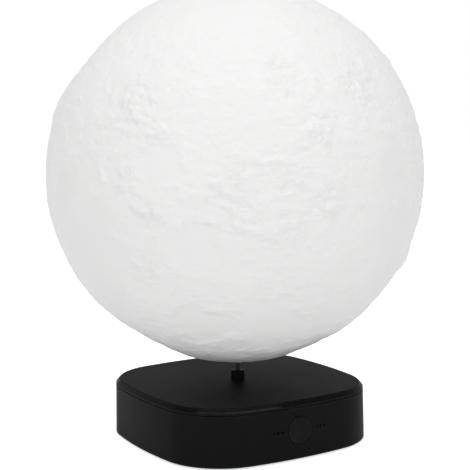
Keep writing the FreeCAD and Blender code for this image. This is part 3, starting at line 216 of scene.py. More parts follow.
def remap(tree, value, low, high, new_low, new_high):
    """Take a value from one range to another, held at the ends."""
    made = node(tree, "ShaderNodeMapRange", From_Min=low, From_Max=high, To_Min=new_low, To_Max=new_high)
    feed(value, made.inputs["Value"])
    return made.outputs["Result"]


def between(tree, value, low, high, softness):
    """1 where a value lies between two limits, falling to 0 over the softness outside them."""
    rise = remap(tree, value, low - softness, low, 0.0, 1.0)
    fall = remap(tree, value, high, high + softness, 1.0, 0.0)
    return times(tree, rise, fall)


def blend_colours(tree, mask, first, second):
    """Mix two colours by a mask; each colour is an output or a tuple."""
    made = node(tree, "ShaderNodeMix", data_type="RGBA")
    feed(mask, made.inputs["Factor"])
    # Each kind of data has its own sockets of the same names; these are the colours'.
    for socket, colour in zip(made.inputs[6:8], (first, second)):
        feed((*colour, 1) if isinstance(colour, tuple) else colour, socket)
    return made.outputs[2]


def noise_value(tree, vector, scale, detail=3.0, roughness=0.55, **settings):
    """A noise value between 0 and 1."""
    made = node(tree, "ShaderNodeTexNoise", Scale=scale, Detail=detail, Roughness=roughness, **settings)
    feed(vector, made.inputs["Vector"])
    return made.outputs[0]


def stretched(tree, vector, scale):
    """Stretch a pattern's coordinates."""
    made = node(tree, "ShaderNodeMapping", Scale=scale)
    feed(vector, made.inputs["Vector"])
    return made.outputs["Vector"]


def new_group(name, **inputs):
    """An empty shader group and its inputs: a number's is a value, any other a vector."""
    group = bpy.data.node_groups.new(name, "ShaderNodeTree")
    for label, default in {"Vector": None, **inputs}.items():
        kind = "NodeSocketFloat" if isinstance(default, float) else "NodeSocketVector"
        socket = group.interface.new_socket(name=label, in_out="INPUT", socket_type=kind)
        if default is not None:
            socket.default_value = default
    return group, group.nodes.new("NodeGroupInput").outputs


def closed(group, **outputs):
    """Give a group its named outputs, each a value that changes over the surface."""
    for label in outputs:
        group.interface.new_socket(name=label.replace("_", " "), in_out="OUTPUT",
                                   socket_type="NodeSocketFloat")
    for socket, value in zip(group.nodes.new("NodeGroupOutput").inputs, outputs.values()):
        feed(value, socket)
    return group


# -------- shared effects


def moulded_grain():
    """Fine texture of a moulded surface, with a slow change of tone and gloss."""
    group, given = new_group("Moulded Grain", Scale=900.0, Unevenness=0.06)
    scaled = node(group, "ShaderNodeVectorMath", operation="SCALE")
    feed(given["Vector"], scaled.inputs[0])
    feed(given["Scale"], scaled.inputs["Scale"])
    pits = node(group, "ShaderNodeTexVoronoi", feature="F1", Scale=1.0)
    feed(scaled.outputs["Vector"], pits.inputs["Vector"])
    fine = noise_value(group, scaled.outputs["Vector"], 0.7)
    slow = noise_value(group, given["Vector"], 26, 4, 0.6)
    mean = 0.75
    shift = minus(group, plus(group, slow, times(group, fine, 0.5)), mean)
    return closed(group, Height=plus(group, times(group, pits.outputs["Distance"], 0.5), fine), Tone=slow,
                  Roughness_Shift=times(group, shift, given["Unevenness"]))


def edge_wear():
    """Where rounded edges are rubbed a little lighter; the cover's painted highlight line runs through it
    too.
    """
    group, given = new_group("Edge Wear", Edge=0.0, Amount=0.5)
    rubbed = remap(group, noise_value(group, given["Vector"], 120, 4, 0.65), 0.42, 0.7, 0.15, 1.0)
    mask = times(group, rubbed, given["Edge"])
    return closed(group, Mask=maths(group, "MULTIPLY", mask, given["Amount"], clamp=True))


def settled_dust():
    """Thin dust on what faces upward."""
    group, given = new_group("Settled Dust", Normal=None, Amount=0.1)
    upward = maths(group, "MAXIMUM", parts_of(group, given["Normal"])["Z"], 0.0)
    specks = remap(group, noise_value(group, given["Vector"], 700, 2, 0.5), 0.62, 0.75, 0.0, 1.0)
    patchy = remap(group, noise_value(group, given["Vector"], 18, 3, 0.6), 0.35, 0.75, 0.0, 0.5)
    mask = times(group, maths(group, "POWER", upward, 4.0), plus(group, specks, patchy))
    return closed(group, Mask=maths(group, "MULTIPLY", mask, given["Amount"], clamp=True))


def print_layers():
    """Layers of a printed wall: low uneven steps up the Z axis."""
    group, given = new_group("Print Layers", Pitch=0.4 * MM, Streak=1.0)
    waver = noise_value(group, given["Vector"], 60, 2, 0.5)
    level = maths(group, "DIVIDE", parts_of(group, given["Vector"])["Z"], given["Pitch"])
    layers = maths(group, "SINE", times(group, plus(group, level, waver), 2 * math.pi))
    streaks = noise_value(group, stretched(group, given["Vector"], (70, 70, 900)), 1.0, 4, 0.6)
    height = plus(group, times(group, layers, 0.12), times(group, streaks, given["Streak"]))
    return closed(group, Height=height, Tone=streaks)


def rocky_crust():
    """Lumps and wrinkles of a rocky surface in millimetres, strong in uplands and faint on plains."""
    group, given = new_group("Rocky Crust", Upland=0.0, Plain=0.0)
    wrinkles = noise_value(group, stretched(group, given["Vector"], (150, 150, 275)), 1.0, 3, 0.5,
                           noise_type="RIDGED_MULTIFRACTAL")
    lumps = noise_value(group, stretched(group, given["Vector"], (290, 290, 350)), 1.0, 4, 0.46)
    calm = minus(group, 1.0, times(group, given["Plain"], 0.82))
    rough = times(group, plus(group, given["Upland"], 0.1), calm)
    bumpy = times(group, plus(group, given["Upland"], 0.5), calm)
    height = plus(group, times(group, wrinkles, 0.46, rough), times(group, lumps, 0.82, bumpy))
    return closed(group, Height=height)


def turned_metal():
    """Fine scratches that run round the Z axis or along a surface."""
    group, given = new_group("Turned Metal", Stretch=(200.0, 200.0, 6000.0))
    pulled = node(group, "ShaderNodeVectorMath", operation="MULTIPLY")
    feed(given["Vector"], pulled.inputs[0])
    feed(given["Stretch"], pulled.inputs[1])
    lines = noise_value(group, pulled.outputs["Vector"], 1.0, 4, 0.7)
    stains = noise_value(group, given["Vector"], 90, 3, 0.6)
    shift = times(group, minus(group, plus(group, lines, stains), 1.0), 0.2)
    return closed(group, Height=lines, Tone=stains, Roughness_Shift=shift)


GROUPS = {}


def build_groups():
    """Make each shared effect once."""
    GROUPS.update(grain=moulded_grain(), wear=edge_wear(), dust=settled_dust(), layers=print_layers(),
                  crust=rocky_crust(), metal=turned_metal())


# -------- materials

DUST_COLOUR = (0.35, 0.34, 0.33)
# Shares of its own colour: the two that a moulded surface varies between, and that of a rubbed edge, also
# used for the cover's painted highlight line.
MOTTLE = (0.82, 1.18)
RUBBED_AND_GLINT_SHARE = 1.5
# A rubbed edge is lifted by this as well.
EDGE_LIFT = 0.012
PRINT_PITCH = 0.4 * MM
# Stretch of the tool marks on turned and on flat metal.
ROUND_MARKS = (150.0, 150.0, 7000.0)
FLAT_MARKS = (5000.0, 160.0, 160.0)
# Depths under the cover's top of its polished bevel, its share of the colour (a painted dark reflection)
# and shift of roughness.
BEVEL_TOP = 0.5 * MM
BEVEL_FOOT = 2.0 * MM
BEVEL_PAINTED_DARK_SHARE = 0.35
BEVEL_SHIFT = -0.22
# Depth of the line along the bevel's foot, and the amount and lift of the painted highlight laid on it
# between two turns about the axis, at the front corner, which also keeps the bevel free of painted dark.
LINE_TOP = 1.65 * MM
LINE_GLINT = (2.4, 0.016)
GLINT_FROM = math.radians(-135)
GLINT_TO = math.radians(-105)
GLINT_SOFTNESS = math.radians(6)


def shaded(colour, share, lift=0.0):
    """A colour made lighter or darker by a share, then lifted."""
    return tuple(min(part * share + lift, 1.0) for part in colour)


class Finish:
    """A material under way: its tree, its shader's sockets and object coordinates."""

    def __init__(self, colour, roughness, metallic=0.0, specular=0.5):
        self.material = bpy.data.materials.new("finish")
        self.material.use_nodes = True
        self.tree = self.material.node_tree
        self.sockets = self.tree.nodes["Principled BSDF"].inputs
        self.sockets["Metallic"].default_value = metallic
        self.sockets["Specular IOR Level"].default_value = specular
        self.sockets["Roughness"].default_value = roughness
        self.colour = tuple(colour[:3])
        self.roughness = roughness
        self.place = self.tree.nodes.new("ShaderNodeTexCoord").outputs["Object"]
        self.material.diffuse_color = (*self.colour, 1)

    def effect(self, name, **values):
        """Place a shared effect at the object's coordinates; each value is a number or an output."""
        made = node(self.tree, "ShaderNodeGroup", node_tree=GROUPS[name])
        for label, value in {"Vector": self.place, **values}.items():
            feed(value, made.inputs[label])
        return made.outputs

    def noted(self, name):
        """A value that the mesh carries at its points."""
        return node(self.tree, "ShaderNodeAttribute", attribute_name=name).outputs["Fac"]

    def tone(self, mask, darker, lighter):
        """Vary the colour between two shares of itself."""
        return blend_colours(self.tree, mask, shaded(self.colour, darker), shaded(self.colour, lighter))

    def wear_and_painted_light(self, base, edge, amount, lift):
        """Lighten a colour where the edge is rubbed; on the cover's bevel line this is a painted highlight.
        """
        wear = self.effect("wear", Edge=edge, Amount=amount)
        return blend_colours(self.tree, wear["Mask"], base, shaded(self.colour, RUBBED_AND_GLINT_SHARE, lift))

    def dusty(self, base, amount):
        """Lay dust over a colour."""
        normal = self.tree.nodes.new("ShaderNodeNewGeometry").outputs["Normal"]
        dust = self.effect("dust", Normal=normal, Amount=amount)
        return blend_colours(self.tree, dust["Mask"], base, DUST_COLOUR)

    def done(self, colour, shift, height, depth):
        """Feed the colour, a shift of the roughness and a bump of a depth in metres into the shader."""
        feed(colour, self.sockets["Base Color"])
        roughness = maths(self.tree, "ADD", shift, self.roughness, clamp=True)
        feed(roughness, self.sockets["Roughness"])
        bump = node(self.tree, "ShaderNodeBump", Strength=1.0, Distance=depth)
        feed(height, bump.inputs["Height"])
        feed(bump.outputs["Normal"], self.sockets["Normal"])
        return self.material


def moulded(colour, roughness, scale, depth, specular=0.5, unevenness=0.12, wear=0.0, dust=0.0):
    """A moulded plastic: grain, slow changes of tone, rubbed edges and dust where asked."""
    finish = Finish(colour, roughness, specular=specular)
    grain = finish.effect("grain", Scale=scale, Unevenness=unevenness)
    base = finish.tone(grain["Tone"], *MOTTLE)
    if wear:
        base = finish.wear_and_painted_light(base, finish.noted("edge"), wear, EDGE_LIFT)
    if dust:
        base = finish.dusty(base, dust)
    return finish.done(base, grain["Roughness Shift"], grain["Height"], depth)


def metal(colour, roughness, stretch=ROUND_MARKS, depth=0.004 * MM):
    """A bare or plated metal with fine tool marks and slight stains."""
    finish = Finish(colour, roughness, metallic=1.0)
    marks = finish.effect("metal", Stretch=stretch)
    colour = finish.tone(marks["Tone"], 0.86, 1.08)
    return finish.done(colour, marks["Roughness Shift"], marks["Height"], depth)


def chosen():
    """The colours that the panel shows."""
    return bpy.context.scene.moon_lamp.finish


def moon_white():
    """White printed plastic of the globe: rugged uplands, smooth plains, layers, and painted shade in the
    hollows.
    """
    finish = Finish(chosen().moon, 0.62, specular=0.3)
    tree = finish.tree
    layers = finish.effect("layers", Pitch=PRINT_PITCH, Streak=1.0)
    grain = finish.effect("grain", Scale=420.0, Unevenness=0.14)
    crust = finish.effect("crust", Upland=finish.noted("upland"), Plain=finish.noted("plain"))
    # Painted shade: the hollows take a darker copy of the white and raised ground a lighter one.
    raised = remap(tree, finish.noted("hollow"), -1.0, 1.0, 0.0, 1.0)
    lit = finish.tone(layers["Tone"], 0.985, 1.012)
    wear_and_painted_light = finish.tone(grain["Tone"], 0.96, 0.995)
    colour = blend_colours(tree, raised, wear_and_painted_light, lit)
    colour = blend_colours(tree, finish.noted("dark"), colour, shaded(finish.colour, 0.965))
    height = plus(tree, times(tree, layers["Height"], 0.1), crust["Height"])
    return finish.done(colour, grain["Roughness Shift"], height, MM)


def cap_white():
    """White moulded cap under the globe, with the globe's print texture."""
    finish = Finish(chosen().moon, 0.58, specular=0.3)
    layers = finish.effect("layers", Pitch=PRINT_PITCH, Streak=0.6)
    grain = finish.effect("grain", Scale=600.0, Unevenness=0.1)
    colour = finish.tone(grain["Tone"], 0.955, 1.0)
    return finish.done(colour, grain["Roughness Shift"], layers["Height"], 0.12 * MM)


def base_black():
    """Satin moulded black of the housing and the base plate."""
    return moulded(chosen().cover, 0.5, specular=0.03, scale=1500.0, depth=0.012 * MM,
                   unevenness=0.16, wear=0.5, dust=0.02)


def base_black_gloss():
    """Black of the cover: satin on top; on the bevel polished and darkened as a painted dark reflection,
    but for the front corner, which keeps its colour and has a painted highlight line along the bevel's
    foot.
    """
    finish = Finish(chosen().cover, 0.54, specular=0.045)
    tree = finish.tree
    place = parts_of(tree, finish.place)
    drop = minus(tree, COVER_TOP, place["Z"])
    turn = maths(tree, "ARCTAN2", place["Y"], place["X"])
    # The front corner, where the painted dark stops and a painted highlight line goes.
    front_corner_glint = between(tree, turn, GLINT_FROM, GLINT_TO, GLINT_SOFTNESS)
    bevel = between(tree, drop, BEVEL_TOP, BEVEL_FOOT, 0.25 * MM)
    polished_and_painted_dark = times(tree, bevel, minus(tree, 1.0, front_corner_glint))
    line = between(tree, drop, LINE_TOP, BEVEL_FOOT, 0.15 * MM)
    grain = finish.effect("grain", Scale=1500.0, Unevenness=0.14)
    base = finish.tone(grain["Tone"], *MOTTLE)
    # Painted reflection: the bevel takes a darker copy of the black for the dark surroundings that it
    # mirrors.
    base = blend_colours(tree, polished_and_painted_dark, base, shaded(finish.colour, BEVEL_PAINTED_DARK_SHARE))
    # Painted highlight: a bright line along the bevel's foot at the front corner.
    base = finish.wear_and_painted_light(base, times(tree, line, front_corner_glint), *LINE_GLINT)
    shift = plus(tree, grain["Roughness Shift"], times(tree, polished_and_painted_dark, BEVEL_SHIFT))
    return finish.done(finish.dusty(base, 0.02), shift, grain["Height"], 0.01 * MM)


def post_black():
    """Smooth black of the bearing post."""
    return moulded((0.0028, 0.0028, 0.0029), 0.4, specular=0.06, scale=2200.0, depth=0.006 * MM, wear=0.4)


def button_black():
    """Satin black of the button."""
    return moulded(chosen().button, 0.5, specular=0.045, scale=1800.0, depth=0.012 * MM, wear=0.35)


def rubber():
    """Matt rubber of the feet."""
    return moulded((0.028, 0.028, 0.029), 0.82, specular=0.25, scale=700.0, depth=0.04 * MM)


def component_black():
    """Moulded packages on the boards, and the switch."""
    return moulded((0.022, 0.022, 0.023), 0.6, scale=2500.0, depth=0.01 * MM)


def lead_sleeve():
    """Ribbed sleeve of the inner leads."""
    return moulded((0.03, 0.03, 0.032), 0.62, scale=1600.0, depth=0.03 * MM)


def clear_plastic():
    """Clear mouldings that carry the indicators' light, dark while it is off."""
    return moulded((0.0005, 0.0005, 0.0006), 0.4, specular=0.02, scale=800.0, depth=0.005 * MM)


def indicator():
    """Pale light packages behind the indicator holes and in the globe."""
    return moulded((0.78, 0.72, 0.45), 0.35, scale=2600.0, depth=0.004 * MM)


def gear_white():
    """Natural acetal of the large wheel."""
    return moulded((0.78, 0.78, 0.74), 0.42, scale=700.0, depth=0.006 * MM, dust=0.05)


def washer_nylon():
    """Natural nylon of the thrust washer."""
    return moulded((0.82, 0.81, 0.76), 0.48, scale=1100.0, depth=0.006 * MM)


def column_white():
    """White moulding inside the globe."""
    return moulded((0.8, 0.8, 0.79), 0.5, scale=600.0, depth=0.01 * MM)


def diffuser_white():
    """Opal dome over the lights."""
    return moulded((0.84, 0.84, 0.83), 0.28, scale=400.0, depth=0.004 * MM)


def battery_sleeve():
    """Shrink sleeve on the cell, wrinkled round its ends."""
    finish = Finish((0.05, 0.12, 0.26), 0.34)
    grain = finish.effect("grain", Scale=300.0, Unevenness=0.1)
    wrinkles = noise_value(finish.tree, stretched(finish.tree, finish.place, (500, 500, 40)), 1.0, 3, 0.5)
    colour = finish.tone(grain["Tone"], 0.85, 1.15)
    return finish.done(colour, grain["Roughness Shift"], wrinkles, 0.05 * MM)


def circuit_board():
    """Green solder mask with copper runs that show through it."""
    finish = Finish((0.02, 0.13, 0.055), 0.32)
    runs = node(finish.tree, "ShaderNodeTexBrick", Scale=1.0, Mortar_Size=0.08, offset=0.37)
    feed(stretched(finish.tree, finish.place, (260, 420, 420)), runs.inputs["Vector"])
    grain = finish.effect("grain", Scale=1800.0, Unevenness=0.1)
    colour = blend_colours(finish.tree, runs.outputs["Fac"], finish.tone(grain["Tone"], 0.9, 1.1),
                           (0.03, 0.19, 0.08))
    return finish.done(colour, grain["Roughness Shift"], runs.outputs["Fac"], 0.02 * MM)


def screw_steel():
    """Plated steel of every screw."""
    return metal((0.52, 0.52, 0.53), 0.34)


def bronze():
    """Coarse bronze of the bushes."""
    return metal((0.5, 0.34, 0.17), 0.48, depth=0.01 * MM)


def motor_can():
    """Drawn steel of the motor."""
    return metal((0.56, 0.56, 0.57), 0.3)


def bracket_steel():
    """Sheet steel of the motor's strap."""
    return metal((0.5, 0.5, 0.51), 0.38, FLAT_MARKS)


def socket_steel():
    """Sheet steel of the inlet and the charging socket."""
    return metal((0.55, 0.55, 0.57), 0.3, FLAT_MARKS)


def spindle_steel():
    """Steel of the spindle and the motor's shaft, given a near-black colour as a painted reflection of the
    black base that the pin mirrors.
    """
    return metal((0.036, 0.036, 0.037), 0.42)


def pinion_brass():
    """Brass of the motor's pinion."""
    return metal((0.62, 0.46, 0.2), 0.32)


def socket_brass():
    """Brass of the socket that sits on the pin."""
    return metal((0.6, 0.44, 0.19), 0.36)


# Each finish's function bears the name of its slot.
FINISH_MAKERS = (
    moon_white, cap_white, base_black, base_black_gloss, post_black, button_black, rubber, component_black,
    lead_sleeve, clear_plastic, indicator, gear_white, washer_nylon, column_white, diffuser_white,
    battery_sleeve, circuit_board, screw_steel, bronze, motor_can, bracket_steel, socket_steel,
    spindle_steel, pinion_brass, socket_brass,
)
FINISHES = {}


def build_finishes():
    """Make each finish once."""
    for maker in FINISH_MAKERS:
        material = maker()
        material.name = f"{maker.__name__}_finish"
        FINISHES[maker.__name__] = material


def dress(**slots):
    """Give each carried-over piece, by its name, the finish of its slot."""
    for name, slot in slots.items():
        materials = NODES[name].data.materials
        materials.clear()
        materials.append(FINISHES[slot])


# -------- mesh helpers

# Points closer than WELD are joined, and a cut takes points within ON_CUT as lying on it.
WELD = 0.002 * MM
ON_CUT = 0.001 * MM
# Over 50, large faces count for more in the evened normals.
NORMAL_WEIGHT = 80


def placed(name, data):
    """A new object in the scene."""
    made = bpy.data.objects.new(name, data)
    bpy.context.scene.collection.objects.link(made)
    return made


def finished(shape, name, body, slot, *nodes, corner=35.0):
    """Turn a modelled shape into a named piece that rides a body and stands for CAD nodes."""
    mesh = bpy.data.meshes.new(name)
    shape.to_mesh(mesh)
    shape.free()
    mesh.shade_smooth()
    mesh.set_sharp_from_angle(angle=math.radians(corner))
    mesh.materials.append(FINISHES[slot])
    piece = placed(name, mesh)
    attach(piece, body)
    if nodes:
        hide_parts(*nodes)
    return piece


def merged_copy(name, flatness):
    """A CAD node's shape with its triangles joined; faces that turn by less than flatness become one."""
    shape = bmesh.new()
    shape.from_mesh(NODES[name].data)
    bmesh.ops.remove_doubles(shape, verts=shape.verts, dist=WELD)
    bmesh.ops.dissolve_limit(shape, angle_limit=math.radians(flatness), use_dissolve_boundaries=False,
                             verts=shape.verts, edges=shape.edges, delimit=set())
    return shape


def cut_level(shape, height, dist, **options):
    """Cut through a whole shape at one height."""
    bmesh.ops.bisect_plane(shape, geom=shape.verts[:] + shape.edges[:] + shape.faces[:], dist=dist,
                           plane_co=(0, 0, height), plane_no=(0, 0, 1), **options)


def round_edges(shape, wanted, radius, segments, corner=25.0):
    """Round the sharp edges that wanted(edge middle) picks, and mark them for wear."""
    edges = [edge for edge in shape.edges
             if edge.is_manifold and edge.calc_face_angle(0.0) > math.radians(corner)
             and wanted((edge.verts[0].co + edge.verts[1].co) / 2)]
    layer = shape.verts.layers.float.new("edge")
    rounded = bmesh.ops.bevel(shape, geom=edges, offset=radius, offset_type="OFFSET", segments=segments,
                              profile=0.5, affect="EDGES", material=-1, clamp_overlap=False)
    for vertex in rounded["verts"]:
        vertex[layer] = 1.0


def soften(name, part, body, slot, wanted, radius, segments=3, flatness=0.2, cuts=()):
    """Stand a copy of a CAD node in its place, with level cuts at some heights and rounded edges."""
    shape = merged_copy(part, flatness)
    for height in cuts:
        cut_level(shape, height, ON_CUT)
    round_edges(shape, wanted, radius, segments)
    piece = finished(shape, name, body, slot, part)
    weighted = piece.modifiers.new("even_normals", "WEIGHTED_NORMAL")
    weighted.mode = "FACE_AREA"
    weighted.weight = NORMAL_WEIGHT
    weighted.keep_sharp = True


# -------- globe relief

# Places on the moon: latitude and longitude in degrees, radius in millimetres.
DARK_PLAINS = (
    (-17, -170, 19), (-34, -170, 14), (-2, -178, 12), (-14, -66, 17), (3, -70, 12), (-30, -62, 14),
    (-20, 10, 24), (15, 60, 18), (-38, 95, 15), (38, 150, 17),
)
PALE_PLAINS = (
    (6, -141, 10.5), (-16, -132, 9.5), (54, -122, 18), (-43, -134, 15), (-44, -108, 18), (-42, -80, 15),
    (5, -15, 13),
)
RUGGED_UPLANDS = (
    (21, -150, 16), (12, -143, 10), (2, -152, 9), (-8, -146, 10), (-4, -121, 17), (3, -108, 14),
    (-12, -108, 13), (15, -97, 11), (-4, -96, 12), (29, -80, 14), (-24, -150, 9), (31, -108, 11),
    (-10, 110, 28), (20, 20, 20), (-35, 60, 18), (45, 100, 20),
)
# Low ridges: the places that each runs through.
RIDGE_LINES = (
    ((18, -169), (9, -164), (3, -160), (-2, -157), (-4, -151), (-7, -145), (-8, -140)),
    ((-7, -143), (-4, -137), (-2, -131), (-3, -120), (-5, -112)),
    ((31, -96), (17, -98), (6, -96), (-10, -96), (-20, -98)),
)
# Latitude, longitude, radius and depth in millimetres of the craters that are told apart.
NAMED_CRATERS = (
    (-17, -133, 13.2, 0.46), (13, -132, 5.8, 0.22), (24, -105, 2.4, 0.42), (57, -76, 5.3, 0.28),
    (-31, -104, 5.6, 0.16), (34, -148, 5.0, 0.2), (-9, -82, 6.4, 0.12), (22, -63, 2.0, 0.3),
    (12, -20, 9.5, 0.6), (-35, 40, 8.0, 0.6), (25, 95, 11.0, 0.7), (-8, 150, 9.0, 0.6),
    (55, 60, 7.0, 0.5), (-50, -30, 7.5, 0.5), (48, -10, 6.0, 0.5), (-45, 140, 8.5, 0.6),
)
# Latitude, longitude, radius and rise in millimetres of broad dents and humps in the outline.
SWELLS = (
    (42, 156, 19, -2.1), (58, 157, 14, -0.8), (22, 157, 12, 0.95), (-8, 159, 9, 0.3), (-33, 164, 8, 0.3),
    (-56, 175, 19, -1.75), (-64, 178, 9, -0.5), (-62, -67, 15, -1.2), (-26, -45, 6, 1.45),
    (-40, -50, 9, -0.35), (36, -38, 3.5, 1.1), (46, -38, 16, 0.75), (-15, 75, 26, -1.2), (62, 20, 22, -0.9),
)
# The ball is held in a little where it meets its box, radius and rise as above.
BOX_SIDES = [(latitude, longitude, 12, -0.4)
             for latitude, longitude in ((0, 0), (0, 90), (0, 180), (0, -90), (90, 0))]
RIDGE_WIDTH = 1.9
RIDGE_RISE = 0.58
# The share of its relief that a plain loses, the least upland anywhere else, and how far outlines stray.
PLAIN_CALM = 0.88
LEAST_UPLAND = 0.3
STRAY = 2.2
# The least share of the rugged noise and of the lumps on any ground.
LEAST_RUGGED = 0.1
LEAST_LUMPS = 0.15
# A crater's edge: rise as a share of the depth, then place and width as shares of the radius.
CRATER_RIM = (0.42, 1.02, 0.16)
CRATER_APRON = (0.12, 1.2, 0.4)
CRATER_FLOOR = 0.6
# Scattered craters: sine of the lowest latitude, smallest radius, spread of sizes and depth to radius.
LOWEST_SINE = -0.95
SMALLEST_CRATER = 1.9
CRATER_SPREAD = 0.93
CRATER_DEPTHS = (0.03, 0.07)


def direction(latitude, longitude):
    """Unit vector of a place on the globe."""
    across = math.cos(math.radians(latitude))
    turn = math.radians(longitude)
    return np.array((across * math.cos(turn), across * math.sin(turn), math.sin(math.radians(latitude))))


def distance_to(unit, latitude, longitude):
    """Distance in millimetres over the surface from a place to every point."""
    return np.arccos(np.clip(unit @ direction(latitude, longitude), -1, 1)) * GLOBE_RADIUS / MM


def sampled(unit, function, scale, move, *values, squash=1.6):
    """A noise function read at every point, flattened so that its lumps lie level."""
    places = unit * (scale, scale, scale * squash) + move
    return np.array([function(Vector(place), *values) for place in places])


def eased(share):
    """A share between 0 and 1, made to start and stop softly."""
    return share * share * (3 - 2 * share)


def crater(unit, strayed, latitude, longitude, radius, depth):
    """Height of one crater, a flat-bottomed bowl and a raised rim; strayed makes its outline waver."""
    share = (distance_to(unit, latitude, longitude) + strayed) / radius
    bowl = -depth * np.clip(1 - share ** 3, 0, 1)
    edge = sum(rise * depth * np.exp(-((share - place) / width) ** 2)
               for rise, place, width in (CRATER_RIM, CRATER_APRON))
    return bowl + np.where(share > CRATER_FLOOR, edge, 0)


def hump(unit, latitude, longitude, radius, rise):
    """Height of one broad rise, or of a dent where rise is under 0."""
    return rise * np.exp(-(distance_to(unit, latitude, longitude) / radius) ** 2)


def ridge(unit, corners, steps=6):
    """Height of a low ridge that runs through corners, each a latitude and longitude."""
    nearest = np.full(len(unit), np.inf)
    for start, end in zip(np.array(corners), np.array(corners[1:])):
        for share in np.arange(steps) / steps:
            nearest = np.minimum(nearest, distance_to(unit, *(start + (end - start) * share)))
    return RIDGE_RISE * np.exp(-(nearest / RIDGE_WIDTH) ** 2)


def patches(unit, places, waver, softness):
    """Areas with wavering outlines, 1 inside and 0 outside; softness is a share of the radius."""
    mask = np.zeros(len(unit))
    for latitude, longitude, radius in places:
        share = distance_to(unit, latitude, longitude) / radius + waver
        mask = np.maximum(mask, np.clip((1 - share) / softness + 0.5, 0, 1))
    return eased(mask)


def scattered_craters(count, seed):
    """Seeded small craters, many small ones to each large one."""
    dice = random.Random(seed)
    for _ in range(count):
        latitude = math.degrees(math.asin(dice.uniform(LOWEST_SINE, 1)))
        longitude = dice.uniform(-180, 180)
        radius = SMALLEST_CRATER * (1 - dice.random() * CRATER_SPREAD) ** -0.5
        yield latitude, longitude, radius, radius * dice.uniform(*CRATER_DEPTHS)


def relief(unit, sizes):
    """Height over the mean ball in millimetres at each unit vector, and masks of the kinds of ground."""
    # Each noise has its scale, its shift and its function's own values.
    waver = sampled(unit, noise.fractal, 5, (3, 1, 7), 0.9, 2.1, 5) * 0.5
    broad = sampled(unit, noise.fractal, 2.3, (5, 2, 9), 1.0, 2.1, 3, squash=1.1)
    rugged = sampled(unit, noise.ridged_multi_fractal, 7, (4, 1, 6), 0.85, 2.15, 6, 1.0, 2.0, squash=1.65)
    lumps = sampled(unit, noise.fractal, 13, (2, 4, 6), 0.75, 2.2, 4, squash=1.8)
    dark = patches(unit, DARK_PLAINS, waver, 1.1)
    plains = np.maximum(dark, patches(unit, PALE_PLAINS, waver, 0.6))
    uplands = np.maximum(patches(unit, RUGGED_UPLANDS, waver, 1.5), LEAST_UPLAND) * (1 - plains)
    calm = 1 - PLAIN_CALM * plains
    height = broad * sizes.swell / MM - plains * sizes.plains / MM
    ruggedness = LEAST_RUGGED + (1 - LEAST_RUGGED) * uplands
    height += (rugged - rugged.mean()) * ruggedness * calm * sizes.ridges / MM * 0.5
    height += lumps * (LEAST_LUMPS + uplands) * calm * sizes.ridges / MM
    for swell in SWELLS:
        height += hump(unit, *swell)
    for corners in RIDGE_LINES:
        height += ridge(unit, corners) * (0.6 + lumps)
    strayed = waver * STRAY
    for place in scattered_craters(sizes.craters, sizes.seed):
        height += crater(unit, strayed, *place) * calm
    for place in NAMED_CRATERS:
        height += crater(unit, strayed, *place)
    for side in BOX_SIDES:
        height += hump(unit, *side)
    return height, {"hollow": height, "plain": plains, "dark": dark, "upland": uplands}


def held_in(height, unit, sizes):
    """Keep the relief inside the CAD ball's box, and let it die out at the opening."""
    radii = GLOBE_RADIUS / MM - sizes.sink / MM + height
    reach = np.abs(unit).max(axis=1)
    radii = np.minimum(radii, GLOBE_RADIUS / MM / reach)
    across = np.hypot(unit[:, 0], unit[:, 1]) * GLOBE_RADIUS
    fade = eased(np.clip((across - OPENING_RADIUS) / OPENING_FADE, 0, 1))
    return GLOBE_RADIUS + (radii * MM - GLOBE_RADIUS) * np.where(unit[:, 2] < 0, fade, 1)


# A point this close to the ball's cut is taken as lying on it.
FINE_CUT = 0.0001 * MM
# The lining runs up to this angle from the bottom, where one face closes it.
LINING_END = math.radians(178.5)


def even_ball(cuts):
    """A cube cut into an even grid and blown up to a unit ball."""
    ball = bmesh.new()
    bmesh.ops.create_cube(ball, size=2)
    bmesh.ops.subdivide_edges(ball, edges=ball.edges[:], cuts=cuts, use_grid_fill=True)
    for vertex in ball.verts:
        spread = Vector([math.tan(part * math.pi / 4) for part in vertex.co])
        vertex.co = spread.normalized()
    return ball


def push_out(ball, sizes):
    """Push the unit ball's points out to the relief, and note each kind of ground at the points."""
    unit = np.array([vertex.co[:] for vertex in ball.verts])
    height, notes = relief(unit, sizes)
    for vertex, radius in zip(ball.verts, held_in(height, unit, sizes)):
        vertex.co *= radius
    for name, values in notes.items():
        layer = ball.verts.layers.float.new(name)
        for vertex, value in zip(ball.verts, values):
            vertex[layer] = value


def open_bottom(ball):
    """Cut the opening and leave its rim round and level; returns the rim's edges and its depth."""
    drop = math.sqrt(GLOBE_RADIUS ** 2 - OPENING_RADIUS ** 2)
    cut_level(ball, -drop, FINE_CUT, clear_inner=True)
    rim = [edge for edge in ball.edges if edge.is_boundary]
    for vertex in {vertex for edge in rim for vertex in edge.verts}:
        set_ring(vertex, OPENING_RADIUS, -drop)
    return rim, drop


def set_ring(vertex, radius, height):
    """Move a point to a radius and a height, at its own turn about the axis."""
    turn = math.atan2(vertex.co.y, vertex.co.x)
    vertex.co = (radius * math.cos(turn), radius * math.sin(turn), height)


def draw_ring(ball, rim, radius, height):
    """Extrude an open rim to a new ring; returns the new rim's edges."""
    made = bmesh.ops.extrude_edge_only(ball, edges=rim)["geom"]
    for vertex in [part for part in made if isinstance(part, bmesh.types.BMVert)]:
        set_ring(vertex, radius, height)
    return [part for part in made if isinstance(part, bmesh.types.BMEdge) and part.is_boundary]


